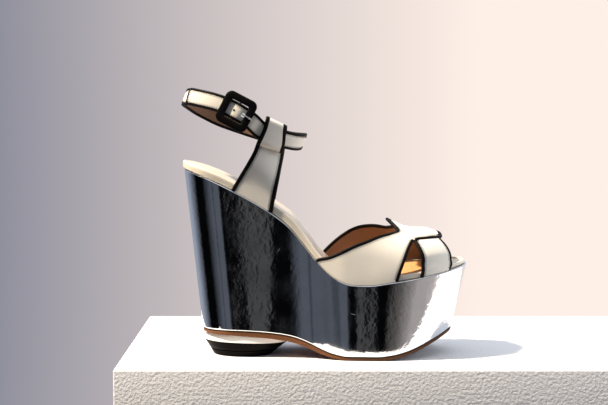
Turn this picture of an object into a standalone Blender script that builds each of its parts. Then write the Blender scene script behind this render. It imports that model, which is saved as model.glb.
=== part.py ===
"""Wedge platform sandal, right shoe, standing on the floor at Z = 0.

The toe points along +X and the inner (medial) side of the foot along +Y. Sizes and tables are in
millimetres and become metres when a mesh is made. x runs along the shoe from the back of the heel,
and z is the height over the floor.
"""

import math
from collections import namedtuple

import bmesh
import bpy
from mathutils import Matrix, Vector

MM = 0.001
GAP = 0.3

SHARP_ANGLE = math.radians(40)

# Driving sizes of the sole
HEEL_BACK = 1.4
TOE_TIP = 233.8
HEEL_ROUND = 31.0
TOE_ROUND = 62.0
TOE_POWER = 2.1
STATIONS = 52
WEDGE_BOTTOM_BACK = 15.6
WEDGE_BOTTOM_FRONT = 222.0
WEDGE_EDGE = 0.8
OUTSOLE_INSET = 0.5
OUTSOLE_EDGE = 0.6
SOCK_THICKNESS = 0.7

# Driving sizes of the upper and of the straps
WALL = 1.8
UPPER_INSET = 0.8
SEAT_GAP = 0.35
ARCH_POWER = 2.4
GIRTH_ROWS = 16
VAMP_COLUMNS = 9
TAB_ROWS = 7
TAB_COLUMNS = 5
TAB_FRONT = 212.8
TAB_CORNER = 3.0
TAB_CORNER_POWER = 8
BAND_ROWS = 15
BAND_COLUMNS = 5
BAND_STEP = 0.9
STRAP_WALL = 1.6
STRAP_INSET = 1.8
STRAP_FOOT = 9.0
STRAP_RISE = 46.0

# Driving sizes of the ankle strap, a ring leaning forward, and of its buckle
RING_CENTRE = (50.6, -0.5, 191.7)
RING_TILT = math.radians(20.3)
RING_LENGTH = 102.6
RING_WIDTH = 69.0
RING_POWER = 2.2
ANKLE_WIDTH = 14.2
ANKLE_WALL = 1.9
ANKLE_COLUMNS = 3
ANKLE_STEP = 5.0
BAR_ANGLE = 84.0
TIP_ANGLE = 27.0
LAP_SPAN = 14.0
LAP_STEP = 2.0
FRAME_LENGTH = 27.0
FRAME_WIDTH = 27.0
FRAME_BAR = 6.0
FRAME_SIDE = 6.0
FRAME_THICKNESS = 1.9
FRAME_EDGE = 0.66
FRAME_CORNER = 5.2
WINDOW_CORNER = 1.2
FRAME_LIFT = 4.75
BAR_RADIUS = 0.6
BAR_LIFT = 1.85
BAR_CORNER = 0.8
PRONG_RADIUS = 0.6

# Wedge's top edge: height of its seat, middle of its width and half its width
Seat = namedtuple("Seat", "x seat mid half")
SEAT_LINE = [
    Seat(0, 152.4, 0.0, 31.0),
    Seat(20, 145.6, -0.2, 31.2),
    Seat(45, 133.8, -0.6, 31.2),
    Seat(70, 119.4, -1.4, 30.8),
    Seat(86, 107.4, -2.2, 30.6),
    Seat(98, 93.2, -2.8, 31.0),
    Seat(110, 78.4, -3.85, 33.05),
    Seat(122, 67.4, -4.75, 35.95),
    Seat(130, 63.1, -4.9, 38.0),
    Seat(137, 61.2, -4.4, 39.4),
    Seat(150, 60.7, -3.0, 41.6),
    Seat(168, 63.0, -1.4, 43.7),
    Seat(185, 65.4, -0.2, 44.0),
    Seat(200, 67.9, 1.2, 43.4),
    Seat(234, 73.8, 6.5, 41.0),
]

# Underside of the wedge, the thickness of the outsole below it, and how far the sides lean in
Under = namedtuple("Under", "x under outsole tuck")
UNDER_LINE = [
    Under(15, 21.6, 3.0, 2.0),
    Under(35, 22.2, 3.5, 1.8),
    Under(50, 21.8, 3.9, 1.6),
    Under(65, 21.0, 4.3, 1.4),
    Under(80, 19.5, 4.6, 1.2),
    Under(90, 17.6, 4.6, 1.1),
    Under(98, 15.0, 4.6, 1.0),
    Under(106, 11.6, 4.4, 1.0),
    Under(114, 8.0, 4.0, 0.9),
    Under(123, 5.0, 3.3, 0.8),
    Under(134, 3.3, 3.0, 0.8),
    Under(158, 3.3, 3.0, 0.8),
    Under(170, 4.6, 3.0, 1.0),
    Under(184, 8.0, 3.0, 1.6),
    Under(200, 13.8, 3.0, 2.8),
    Under(212, 18.6, 3.0, 3.6),
    Under(222, 22.2, 3.0, 4.0),
]

# Footbed: thickness square to its slope, how far its rim stands inside the wedge's edge, and the sock
# inside the rim
Bed = namedtuple("Bed", "x thickness inset sock")
BED_LINE = [
    Bed(0, 4.9, -1.4, 2.2),
    Bed(16, 4.9, 0.6, 2.2),
    Bed(34, 4.9, 2.9, 2.2),
    Bed(80, 5.0, 2.9, 2.2),
    Bed(112, 4.0, 2.9, 2.2),
    Bed(140, 3.1, 3.0, 2.2),
    Bed(200, 3.0, 3.0, 2.2),
    Bed(220, 2.5, 3.0, 5.0),
    Bed(234, 1.7, 1.6, 10.0),
]

# Rim of the footbed from the sock's edge to its outside: way in from the outside, and rise over the bed
Rim = namedtuple("Rim", "inset rise")
RIM_SECTION = [
    Rim(1.9, 0.0),
    Rim(1.9, 0.9),
    Rim(1.25, 1.3),
    Rim(0.45, 0.8),
    Rim(0.0, -0.6),
]

# Layers under the heel, each an oval at its top and at its bottom
Oval = namedtuple("Oval", "back front half")
HEEL_BASE_TOP = Oval(19.6, 88.4, 27.2)
HEEL_BASE_BOTTOM = Oval(16.5, 87.6, 28.6)
HEEL_LIFT_TOP = Oval(16.9, 87.0, 28.4)
HEEL_LIFT_BOTTOM = Oval(21.5, 79.5, 26.2)
TOP_PIECE_TOP = Oval(21.8, 79.0, 26.0)
TOP_PIECE_BOTTOM = Oval(24.5, 73.5, 24.2)
HEEL_PLANE_BACK = 12.6
HEEL_PLANE_FALL = 0.0225
TOP_PIECE_HEIGHT = 4.8
OVAL_POWER = 2.3
OVAL_POINTS = 44

# Crest of the upper over the foot
Crest = namedtuple("Crest", "x height")
CREST_LINE = [
    Crest(108, 160.0),
    Crest(125, 145.0),
    Crest(140, 132.0),
    Crest(155, 120.0),
    Crest(167, 111.4),
    Crest(175, 107.4),
    Crest(184, 103.9),
    Crest(192, 103.0),
    Crest(199, 102.8),
    Crest(206, 100.8),
    Crest(212.5, 98.4),
    Crest(220, 94.0),
    Crest(234, 86.0),
]

# Edges of the vamp and of the toe band round the girth: -1 outer side, 0 crest, 1 inner side
Edge = namedtuple("Edge", "girth rear front")
VAMP_EDGES = [
    Edge(-1.0, 108.5, 174.6),
    Edge(-0.92, 119.4, 176.9),
    Edge(-0.79, 134.6, 180.2),
    Edge(-0.66, 149.7, 182.9),
    Edge(-0.50, 162.7, 186.6),
    Edge(-0.42, 168.4, 188.7),
    Edge(-0.30, 174.2, 189.0),
    Edge(-0.13, 169.3, 189.0),
    Edge(0.0, 167.0, 189.0),
    Edge(0.13, 169.3, 189.0),
    Edge(0.32, 173.6, 189.0),
    Edge(0.42, 168.6, 187.6),
    Edge(0.50, 158.8, 182.0),
    Edge(0.69, 139.0, 173.4),
    Edge(0.84, 125.6, 168.4),
    Edge(1.0, 112.5, 163.5),
]
BAND_EDGES = [
    Edge(-1.0, 192.3, 218.2),
    Edge(-0.92, 193.5, 219.6),
    Edge(-0.79, 193.5, 219.4),
    Edge(-0.66, 192.0, 218.4),
    Edge(-0.54, 189.7, 216.7),
    Edge(-0.44, 188.0, 214.4),
    Edge(-0.30, 187.4, 210.8),
    Edge(0.0, 187.4, 209.6),
    Edge(0.30, 187.4, 210.8),
    Edge(0.44, 186.4, 214.4),
    Edge(0.66, 184.0, 218.4),
    Edge(0.84, 183.6, 219.6),
    Edge(1.0, 182.6, 218.6),
]

# Side of the vamp's front tab: way from its root to its front, and its place round the girth
Tab = namedtuple("Tab", "way girth")
TAB_SIDE = [
    Tab(0.0, 0.4375),
    Tab(0.2, 0.43),
    Tab(0.4, 0.427),
    Tab(0.55, 0.419),
    Tab(0.7, 0.393),
    Tab(0.85, 0.362),
    Tab(1.0, 0.325),
]

# Folds of a quarter strap: its two edges seen from the side, and how far it lies outside the ankle strap
Fold = namedtuple("Fold", "rear_x rear_z front_x front_z out")
QUARTER_FOLDS = [
    Fold(47.5, 147.2, 75.9, 128.0, 0.0),
    Fold(53.6, 157.2, 78.3, 140.5, 0.0),
    Fold(59.2, 167.2, 80.6, 153.0, -1.6),
    Fold(62.4, 175.6, 82.7, 164.0, -2.6),
    Fold(66.4, 183.6, 84.2, 174.6, -2.6),
    Fold(68.7, 191.4, 85.0, 183.4, -2.6),
    Fold(69.2, 193.5, 85.2, 185.6, -1.9),
    Fold(69.4, 194.6, 85.2, 186.7, 0.0),
    Fold(69.2, 193.5, 85.2, 185.6, 1.9),
    Fold(68.7, 191.4, 85.0, 183.4, 2.6),
    Fold(67.1, 185.6, 84.6, 177.4, 2.6),
    Fold(64.5, 179.6, 83.9, 171.4, 2.6),
    Fold(63.4, 177.2, 83.3, 169.2, 2.6),
    Fold(62.3, 175.0, 82.8, 167.2, 1.8),
    Fold(61.4, 173.2, 82.4, 165.6, 0.3),
]
QUARTER_BASE_REAR = 41.0
QUARTER_BASE_FRONT = 74.0
QUARTER_COLUMNS = 5
Drop = namedtuple("Drop", "rear front")
LATERAL_DROP = Drop(0.0, 0.0)
MEDIAL_DROP = Drop(4.6, 1.6)

# Ankle strap round the ring, from the heel (0) past the outer side (90): its rise over the ring's plane
Sag = namedtuple("Sag", "angle rise")
ANKLE_SAG = [
    Sag(0, 0.0),
    Sag(40, 4.0),
    Sag(70, 6.3),
    Sag(84, 5.2),
    Sag(95, 2.4),
    Sag(107, -2.2),
    Sag(125, -3.2),
    Sag(145, -2.4),
    Sag(180, 0.0),
    Sag(225, -4.0),
    Sag(255, -6.3),
    Sag(285, -7.2),
    Sag(315, -4.8),
    Sag(340, -1.7),
    Sag(360, 0.0),
]

# Layers of the ankle strap along its turn from the bar: how far it lies outside the ring
Layer = namedtuple("Layer", "turn out")
ANKLE_LAYERS = [
    Layer(0, 0.0),
    Layer(339, 0.0),
    Layer(347, 2.4),
    Layer(353.4, 2.55),
    Layer(357, 4.2),
    Layer(360, 4.1),
    Layer(366.6, 2.55),
    Layer(373.5, 2.4),
    Layer(430, 2.25),
]

# Rounded tip of the free end: each section's turn before the end, and how much narrower it is
Tip = namedtuple("Tip", "before narrow")
ANKLE_TIP = [
    Tip(1.5, 0.36),
    Tip(0.4, 1.35),
    Tip(0.0, 3.0),
]

# Holes in the free end: the one that the prong uses, and the next
Hole = namedtuple("Hole", "turn radius depth")
PRONG_HOLES = [
    Hole(354.6, 1.8, 5.0),
    Hole(361.9, 1.0, 3.4),
]

# Middle line of the prong: its way along the strap from the bar, and its lift over the frame's middle
Pin = namedtuple("Pin", "along lift")
PRONG_LINE = [
    Pin(1.6, -3.8),
    Pin(4.5, -3.8),
    Pin(5.4, -3.0),
    Pin(5.7, 0.5),
    Pin(6.6, 1.7),
    Pin(9.2, 1.95),
    Pin(13.2, 1.8),
]


def value(rows, column, at):
    """Smooth value of a table's column, with no overshoot between its rows."""
    places = [row[0] for row in rows]
    values = [getattr(row, column) for row in rows]
    last = len(rows) - 1
    if at <= places[0]:
        return values[0]
    if at >= places[last]:
        return values[last]
    grades = [(values[i + 1] - values[i]) / (places[i + 1] - places[i]) for i in range(last)]

    def slope(i):
        if i == 0 or i == last:
            return grades[min(i, last - 1)]
        before, after = grades[i - 1], grades[i]
        return 2 * before * after / (before + after) if before * after > 0 else 0.0

    i = max(k for k in range(last) if places[k] <= at)
    span = places[i + 1] - places[i]
    t = (at - places[i]) / span
    start, end = slope(i) * span, slope(i + 1) * span
    return (
        (2 * t**3 - 3 * t**2 + 1) * values[i]
        + (t**3 - 2 * t**2 + t) * start
        + (3 * t**2 - 2 * t**3) * values[i + 1]
        + (t**3 - t**2) * end
    )


def seat_height(x):
    """Height of the wedge's top edge."""
    return value(SEAT_LINE, "seat", x)


def upright(x, thickness):
    """Height that a thickness square to the seat's slope takes up."""
    slope = seat_height(x + 0.5) - seat_height(x - 0.5)
    return thickness * math.hypot(1.0, slope)


def half_width(x):
    """Half the wedge's width at its top, rounded off at heel and toe."""
    half = value(SEAT_LINE, "half", x)
    heel = (HEEL_BACK + HEEL_ROUND - x) / HEEL_ROUND
    toe = (x - TOE_TIP + TOE_ROUND) / TOE_ROUND
    if heel > 0:
        half *= math.sqrt(max(0.0, 1 - heel**2))
    if toe > 0:
        half *= max(0.0, 1 - toe**TOE_POWER) ** (1 / TOE_POWER)
    return half


def outline(inset_at):
    """Plan of the wedge's top edge, moved in by inset_at(x): a closed loop of (x, y)."""
    lateral, medial = [], []
    for i in range(STATIONS + 1):
        x = HEEL_BACK + (TOE_TIP - HEEL_BACK) * (1 - math.cos(math.pi * i / STATIONS)) / 2
        mid, half = value(SEAT_LINE, "mid", x), half_width(x)
        lateral.append(Vector((x, mid - half)))
        medial.append(Vector((x, mid + half)))
    loop = lateral + medial[-2:0:-1]
    moved = []
    for i, point in enumerate(loop):
        along = loop[(i + 1) % len(loop)] - loop[i - 1]
        inward = Vector((-along.y, along.x)).normalized()
        moved.append(point + inward * inset_at(point.x))
    return moved


def oval(shape):
    """Plan of a heel layer: a closed loop of (x, y)."""
    middle, length = (shape.back + shape.front) / 2, (shape.front - shape.back) / 2
    loop = []
    for i in range(OVAL_POINTS):
        angle = math.pi * (2 * i / OVAL_POINTS - 1)
        along, across = math.cos(angle), math.sin(angle)
        x = middle + length * math.copysign(abs(along) ** (2 / OVAL_POWER), along)
        y = shape.half * math.copysign(abs(across) ** (2 / OVAL_POWER), across)
        loop.append(Vector((x, y + value(SEAT_LINE, "mid", x))))
    return loop


def ring_point(angle):
    """Point of the ankle ring's middle line, in the ring's own plane."""
    along, across = math.cos(math.radians(angle)), math.sin(math.radians(angle))
    x = -RING_LENGTH / 2 * math.copysign(abs(along) ** (2 / RING_POWER), along)
    y = -RING_WIDTH / 2 * math.copysign(abs(across) ** (2 / RING_POWER), across)
    return Vector((x, y, 0.0))


def ring_side(x, z):
    """Half the ankle ring's width where the side view has the point x, z."""
    local = (x - RING_CENTRE[0]) * math.cos(RING_TILT) - (z - RING_CENTRE[2]) * math.sin(RING_TILT)
    share = min(0.999, abs(local) / (RING_LENGTH / 2))
    return RING_WIDTH / 2 * (1 - share**RING_POWER) ** (1 / RING_POWER)


def finish_mesh(name, shape, look, keep):
    """Object of a finished bmesh, in metres, with its own material."""
    bmesh.ops.scale(shape, vec=(MM, MM, MM), verts=shape.verts)
    if all(edge.is_manifold for edge in shape.edges):
        bmesh.ops.recalc_face_normals(shape, faces=shape.faces)
    mesh = bpy.data.meshes.new(name)
    shape.to_mesh(mesh)
    shape.free()
    mesh.shade_smooth()
    mesh.set_sharp_from_angle(angle=SHARP_ANGLE)
    piece = bpy.data.objects.new(name, mesh)
    piece.data.materials.append(look)
    keep.objects.link(piece)
    return piece


def material(name, colour, roughness, metallic=0.0):
    """Plain Principled material."""
    look = bpy.data.materials.new(name)
    look.use_nodes = True
    shader = look.node_tree.nodes["Principled BSDF"]
    shader.inputs["Base Color"].default_value = (*colour, 1.0)
    shader.inputs["Roughness"].default_value = roughness
    shader.inputs["Metallic"].default_value = metallic
    return look


def slab(name, rings, look, keep):
    """Closed slab through rings of equal count, the first its top and the last its bottom."""
    shape = bmesh.new()
    loops = [[shape.verts.new(point) for point in ring] for ring in rings]
    count = len(loops[0])
    for upper, lower in zip(loops, loops[1:]):
        for i in range(count):
            after = (i + 1) % count
            shape.faces.new((upper[i], upper[after], lower[after], lower[i]))
    for cap in (loops[0], loops[-1]):
        shape.faces.new((cap[0], cap[1], cap[-1]))
        for i in range(1, count // 2 - 1):
            shape.faces.new((cap[i], cap[i + 1], cap[-i - 1], cap[-i]))
        half = count // 2
        shape.faces.new((cap[half - 1], cap[half], cap[half + 1]))
    return finish_mesh(name, shape, look, keep)


def sheet(name, rows, look, keep):
    """Open surface through rows of points, as long as the shorter row of each pair."""
    shape = bmesh.new()
    lines = [[shape.verts.new(point) for point in row] for row in rows]
    for near, far in zip(lines, lines[1:]):
        for i in range(min(len(near), len(far)) - 1):
            shape.faces.new((near[i], near[i + 1], far[i + 1], far[i]))
    return finish_mesh(name, shape, look, keep)


def thicken(piece, wall, offset):
    """Give an open surface its wall."""
    solid = piece.modifiers.new("Wall", "SOLIDIFY")
    solid.thickness = wall * MM
    solid.offset = offset
    solid.use_even_offset = True
    solid.use_rim = True


def at_height(loop, height_at):
    """Plan loop lifted to a height over the floor that depends on x."""
    return [Vector((point.x, point.y, height_at(point.x))) for point in loop]


def wedge_bottom(inset):
    """Plan of the wedge's underside, raked forward at the heel and back at the toe."""
    loop = outline(lambda x: value(UNDER_LINE, "tuck", x) + inset)
    back, front = HEEL_BACK + UNDER_LINE[0].tuck, TOE_TIP - UNDER_LINE[-1].tuck
    rake = (WEDGE_BOTTOM_FRONT - WEDGE_BOTTOM_BACK) / (front - back)
    return [Vector((WEDGE_BOTTOM_BACK + (point.x - back) * rake, point.y)) for point in loop]


def under_height(x):
    """Height of the wedge's underside."""
    return value(UNDER_LINE, "under", x)


def outsole_bottom(x):
    """Height of the outsole's underside."""
    return under_height(x) - GAP - value(UNDER_LINE, "outsole", x)


def bed_inset(x):
    """How far the footbed's rim stands inside the wedge's edge."""
    return value(BED_LINE, "inset", x)


def bed_top(x):
    """Height of the footbed's top."""
    return seat_height(x) + upright(x, GAP + value(BED_LINE, "thickness", x))


def make_wedge(keep):
    """Platform and wedge heel in one, with small edges top and bottom."""
    look = material("silver_film", (0.78, 0.80, 0.83), 0.08, 1.0)
    rings = [
        at_height(outline(lambda x: WEDGE_EDGE), seat_height),
        at_height(outline(lambda x: 0.0), lambda x: seat_height(x) - WEDGE_EDGE),
        at_height(wedge_bottom(0.0), lambda x: under_height(x) + WEDGE_EDGE),
        at_height(wedge_bottom(WEDGE_EDGE), under_height),
    ]
    return slab("wedge", rings, look, keep)


def make_outsole(keep):
    """Leather outsole under the wedge, level under the ball of the foot."""
    look = material("outsole_leather", (0.42, 0.25, 0.14), 0.55)
    rings = [
        at_height(wedge_bottom(OUTSOLE_INSET), lambda x: under_height(x) - GAP),
        at_height(wedge_bottom(OUTSOLE_INSET), lambda x: outsole_bottom(x) + OUTSOLE_EDGE),
        at_height(wedge_bottom(OUTSOLE_INSET + OUTSOLE_EDGE), outsole_bottom),
    ]
    return slab("outsole", rings, look, keep)


def make_heel_layers(keep):
    """Covered heel base and the two rubber layers below it."""
    cover = material("heel_base_leather", (0.80, 0.76, 0.68), 0.5)
    rubber = material("heel_rubber", (0.02, 0.02, 0.022), 0.6)
    tread = material("top_piece_rubber", (0.025, 0.025, 0.025), 0.7)

    def heel_plane(x):
        return HEEL_PLANE_BACK - HEEL_PLANE_FALL * (x - HEEL_BASE_BOTTOM.back)

    base = [
        at_height(oval(HEEL_BASE_TOP), lambda x: outsole_bottom(x) - GAP),
        at_height(oval(HEEL_BASE_BOTTOM), heel_plane),
    ]
    lift = [
        at_height(oval(HEEL_LIFT_TOP), lambda x: heel_plane(x) - GAP),
        at_height(oval(HEEL_LIFT_BOTTOM), lambda x: TOP_PIECE_HEIGHT + GAP),
    ]
    top_piece = [
        at_height(oval(TOP_PIECE_TOP), lambda x: TOP_PIECE_HEIGHT),
        at_height(oval(TOP_PIECE_BOTTOM), lambda x: 0.0),
    ]
    return [
        slab("heel_base", base, cover, keep),
        slab("heel_lift", lift, rubber, keep),
        slab("heel_top_piece", top_piece, tread, keep),
    ]


def make_footbed(keep):
    """Wrapped board with a rounded rim that stands round the sock."""
    look = material("footbed_leather", (0.82, 0.79, 0.72), 0.45)

    def ring(inset, rise):
        loop = outline(lambda x: bed_inset(x) + inset)
        return at_height(loop, lambda x: bed_top(x) + upright(x, rise))

    def foot(inset, up):
        loop = outline(lambda x: bed_inset(x) + inset)
        return at_height(loop, lambda x: seat_height(x) + upright(x, GAP + up))

    rings = [ring(rim.inset, rim.rise) for rim in RIM_SECTION]
    rings += [foot(0.0, WEDGE_EDGE), foot(WEDGE_EDGE, 0.0)]
    return slab("footbed", rings, look, keep)


def make_insole(keep):
    """Leather sock on the footbed."""
    look = material("insole_leather", (0.62, 0.34, 0.15), 0.5)

    def ring(up):
        loop = outline(lambda x: bed_inset(x) + value(BED_LINE, "sock", x))
        return at_height(loop, lambda x: bed_top(x) + upright(x, GAP + up))

    return slab("insole", [ring(SOCK_THICKNESS), ring(0.0)], look, keep)


def upper_point(x, girth, drop):
    """Point of the upper's outer face: an arch over the foot, square to the floor at its ends."""
    base = seat_height(x) + upright(x, SEAT_GAP)
    height = value(CREST_LINE, "height", x) - drop - base
    angle = girth * math.pi / 2
    across = math.copysign(abs(math.sin(angle)) ** (2 / ARCH_POWER), girth)
    y = value(SEAT_LINE, "mid", x) + (half_width(x) - UPPER_INSET) * across
    return Vector((x, y, base + height * math.cos(angle) ** (2 / ARCH_POWER)))


def upper_row(edges, girth, columns, drop):
    """Row of an upper sheet from its rear to its front edge."""
    rear, front = value(edges, "rear", girth), value(edges, "front", girth)
    return [upper_point(rear + (front - rear) * i / columns, girth, drop) for i in range(columns + 1)]


def tab_row(girth, columns):
    """Row of the vamp's front tab, from its root to its front edge, without the root's own point."""
    root = value(VAMP_EDGES, "front", girth)
    share = girth * GIRTH_ROWS / TAB_ROWS
    front = TAB_FRONT - TAB_CORNER * abs(share) ** TAB_CORNER_POWER
    points = []
    for i in range(1, columns + 1):
        t = i / columns
        points.append(upper_point(root + (front - root) * t, share * value(TAB_SIDE, "girth", t), 0.0))
    return points


def make_upper(keep, tools):
    """Vamp with its front tab, joined to the toe band that passes under the tab."""
    look = material("upper_leather", (0.86, 0.83, 0.76), 0.4)
    rows = []
    for i in range(-GIRTH_ROWS, GIRTH_ROWS + 1):
        girth = i / GIRTH_ROWS
        row = upper_row(VAMP_EDGES, girth, VAMP_COLUMNS, 0.0)
        if abs(i) <= TAB_ROWS:
            row += tab_row(girth, TAB_COLUMNS)
        rows.append(row)
    upper = sheet("upper", rows, look, keep)
    thicken(upper, WALL, -1.0)

    girths = [i / BAND_ROWS for i in range(-BAND_ROWS, BAND_ROWS + 1)]
    rows = [upper_row(BAND_EDGES, girth, BAND_COLUMNS, BAND_STEP) for girth in girths]
    band = sheet("toe_band_tool", rows, look, tools)
    thicken(band, WALL, -1.0)
    join = upper.modifiers.new("Toe band", "BOOLEAN")
    join.operation = "UNION"
    join.object = band
    return upper


def quarter_point(x, z, out, side, drop):
    """Point of a quarter strap's middle face: from the wedge's edge up to the ankle ring."""
    seat = seat_height(x) + upright(x, SEAT_GAP)
    rise = min(1.0, max(0.0, (z - seat - STRAP_FOOT) / (STRAP_RISE - STRAP_FOOT)))
    rise = rise * rise * (3 - 2 * rise)
    edge = side * (half_width(x) - STRAP_INSET) + value(SEAT_LINE, "mid", x)
    ring = side * (ring_side(x, max(z, seat + STRAP_RISE)) + out) + RING_CENTRE[1]
    return Vector((x, edge + (ring - edge) * rise, z - drop * rise))


def make_quarter_strap(name, side, drop, keep):
    """Strap from the wedge's edge, folded outwards over the ankle strap."""
    look = material(name + "_leather", (0.86, 0.83, 0.76), 0.4)
    shares = [i / QUARTER_COLUMNS for i in range(QUARTER_COLUMNS + 1)]
    base = []
    for share in shares:
        x = QUARTER_BASE_REAR + (QUARTER_BASE_FRONT - QUARTER_BASE_REAR) * share
        base.append(quarter_point(x, seat_height(x) + upright(x, SEAT_GAP), 0.0, side, 0.0))
    rows = [base]
    for fold in QUARTER_FOLDS:
        row = []
        for share in shares:
            x = fold.rear_x + (fold.front_x - fold.rear_x) * share
            z = fold.rear_z + (fold.front_z - fold.rear_z) * share
            sink = drop.rear + (drop.front - drop.rear) * share
            row.append(quarter_point(x, z, fold.out, side, sink))
        rows.append(row)
    strap = sheet(name, rows, look, keep)
    thicken(strap, STRAP_WALL, 0.0)
    return strap


def ankle_frame(turn):
    """Place, outward and upward direction of the ankle strap at a turn from the bar."""
    angle = (BAR_ANGLE - turn) % 360
    ahead = ring_point(angle - 1.0) - ring_point(angle + 1.0)
    outward = Vector((-ahead.y, ahead.x, 0.0)).normalized()
    if outward.dot(ring_point(angle)) < 0:
        outward.negate()
    rise = value(ANKLE_SAG, "rise", angle)
    climb = value(ANKLE_SAG, "rise", (angle - 1.0) % 360) - value(ANKLE_SAG, "rise", (angle + 1.0) % 360)
    along = Vector((ahead.x, ahead.y, climb)).normalized()
    upward = along.cross(outward).normalized()
    if upward.z < 0:
        upward.negate()
    place = ring_point(angle) + outward * value(ANKLE_LAYERS, "out", turn) + Vector((0, 0, rise))
    return place, outward, upward


def spread(start, end, step):
    """Even values from start up to end, without it, about a step apart."""
    count = round((end - start) / step)
    return [start + (end - start) * i / count for i in range(count)]


def ankle_sections():
    """Turn and half width of each section of the ankle strap, closer over the buckle's bar."""
    end = 360 + BAR_ANGLE - TIP_ANGLE
    turns = spread(0, 360 - LAP_SPAN, ANKLE_STEP)
    turns += spread(360 - LAP_SPAN, 360 + LAP_SPAN, LAP_STEP)
    turns += spread(360 + LAP_SPAN, end - ANKLE_TIP[0].before, ANKLE_STEP)
    sections = [(turn, ANKLE_WIDTH / 2) for turn in turns]
    return sections + [(end - tip.before, ANKLE_WIDTH / 2 - tip.narrow) for tip in ANKLE_TIP]


def make_ankle_strap(ring, keep, tools):
    """Strap round heel and ankle, with its free end over the bar and two holes for the prong."""
    look = material("ankle_strap_leather", (0.86, 0.83, 0.76), 0.4)
    shares = [2 * i / ANKLE_COLUMNS - 1 for i in range(ANKLE_COLUMNS + 1)]
    rows = []
    for turn, half in ankle_sections():
        place, outward, upward = ankle_frame(turn)
        rows.append([place + upward * half * share for share in shares])
    strap = sheet("ankle_strap", rows, look, keep)
    thicken(strap, ANKLE_WALL, 0.0)
    strap.parent = ring
    for number, hole_at in enumerate(PRONG_HOLES):
        place, outward = ankle_frame(hole_at.turn)[:2]
        radius, depth = hole_at.radius * MM, hole_at.depth * MM
        bpy.ops.mesh.primitive_cylinder_add(vertices=12, radius=radius, depth=depth)
        hole = bpy.context.object
        hole.name = f"prong_hole_tool_{number}"
        for collection in hole.users_collection:
            collection.objects.unlink(hole)
        tools.objects.link(hole)
        hole.parent = ring
        turned = outward.to_track_quat("Z", "Y").to_matrix().to_4x4()
        hole.matrix_local = Matrix.Translation(place * MM) @ turned
        cut = strap.modifiers.new(f"Prong hole {number}", "BOOLEAN")
        cut.operation = "DIFFERENCE"
        cut.object = hole
    return strap


def rounded_loop(length, width, corner, height):
    """Loop of a rounded rectangle, with four points a corner."""
    loop = []
    for quarter in range(4):
        sign_x, sign_y = ((1, 1), (-1, 1), (-1, -1), (1, -1))[quarter]
        for i in range(4):
            angle = math.pi / 2 * (quarter + i / 3)
            x = sign_x * (length / 2 - corner) + corner * math.cos(angle)
            y = sign_y * (width / 2 - corner) + corner * math.sin(angle)
            loop.append(Vector((x, y, height)))
    return loop


def buckle_matrix():
    """Buckle's place on the ring: its length along the strap, its face outwards."""
    place, outward, upward = ankle_frame(0.0)
    along = upward.cross(outward).normalized()
    turn = Matrix((along, upward, outward)).transposed().to_4x4()
    return Matrix.Translation((place + outward * FRAME_LIFT) * MM) @ turn


def make_buckle(ring, keep, tools):
    """Covered square frame with its centre bar, and the prong that goes through the strap."""
    cover = material("buckle_cover", (0.03, 0.03, 0.032), 0.45)
    steel = material("buckle_steel", (0.75, 0.75, 0.77), 0.25, 1.0)
    inner_length, inner_width = FRAME_LENGTH - 2 * FRAME_BAR, FRAME_WIDTH - 2 * FRAME_SIDE
    face = FRAME_THICKNESS / 2
    side = face - FRAME_EDGE

    def outside(inset, height):
        length, width = FRAME_LENGTH - 2 * inset, FRAME_WIDTH - 2 * inset
        return rounded_loop(length, width, FRAME_CORNER - inset, height)

    def window(grown, height):
        length, width = inner_length + 2 * grown, inner_width + 2 * grown
        return rounded_loop(length, width, WINDOW_CORNER + grown, height)

    rims = [outside(0.0, -side), outside(0.0, side), outside(FRAME_EDGE, face)]
    rims += [window(FRAME_EDGE, face), window(0.0, side), window(0.0, -side)]
    rims += [window(FRAME_EDGE, -face), outside(FRAME_EDGE, -face)]
    shape = bmesh.new()
    loops = [[shape.verts.new(point) for point in rim] for rim in rims]
    for near, far in zip(loops, loops[1:] + loops[:1]):
        for i in range(len(near)):
            after = (i + 1) % len(near)
            shape.faces.new((near[i], near[after], far[after], far[i]))
    frame = finish_mesh("buckle_frame", shape, cover, keep)
    frame.parent = ring
    frame.matrix_local = buckle_matrix()

    low = BAR_LIFT - FRAME_LIFT
    end = (FRAME_WIDTH - FRAME_SIDE) / 2
    staple = [(0, -end, 0.0), (0, -end, low + BAR_CORNER), (0, BAR_CORNER - end, low)]
    staple += [(x, -y, z) for x, y, z in reversed(staple)]
    bar = tube("centre_bar_tool", staple, BAR_RADIUS, cover, tools)
    bar.parent = ring
    bar.matrix_local = buckle_matrix()
    join = frame.modifiers.new("Centre bar", "BOOLEAN")
    join.operation = "UNION"
    join.object = bar

    pin_line = [(pin.along, 0.0, pin.lift) for pin in PRONG_LINE]
    prong = tube("buckle_prong", pin_line, PRONG_RADIUS, steel, keep)
    prong.parent = ring
    prong.matrix_local = buckle_matrix()
    return [frame, prong]


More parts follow.
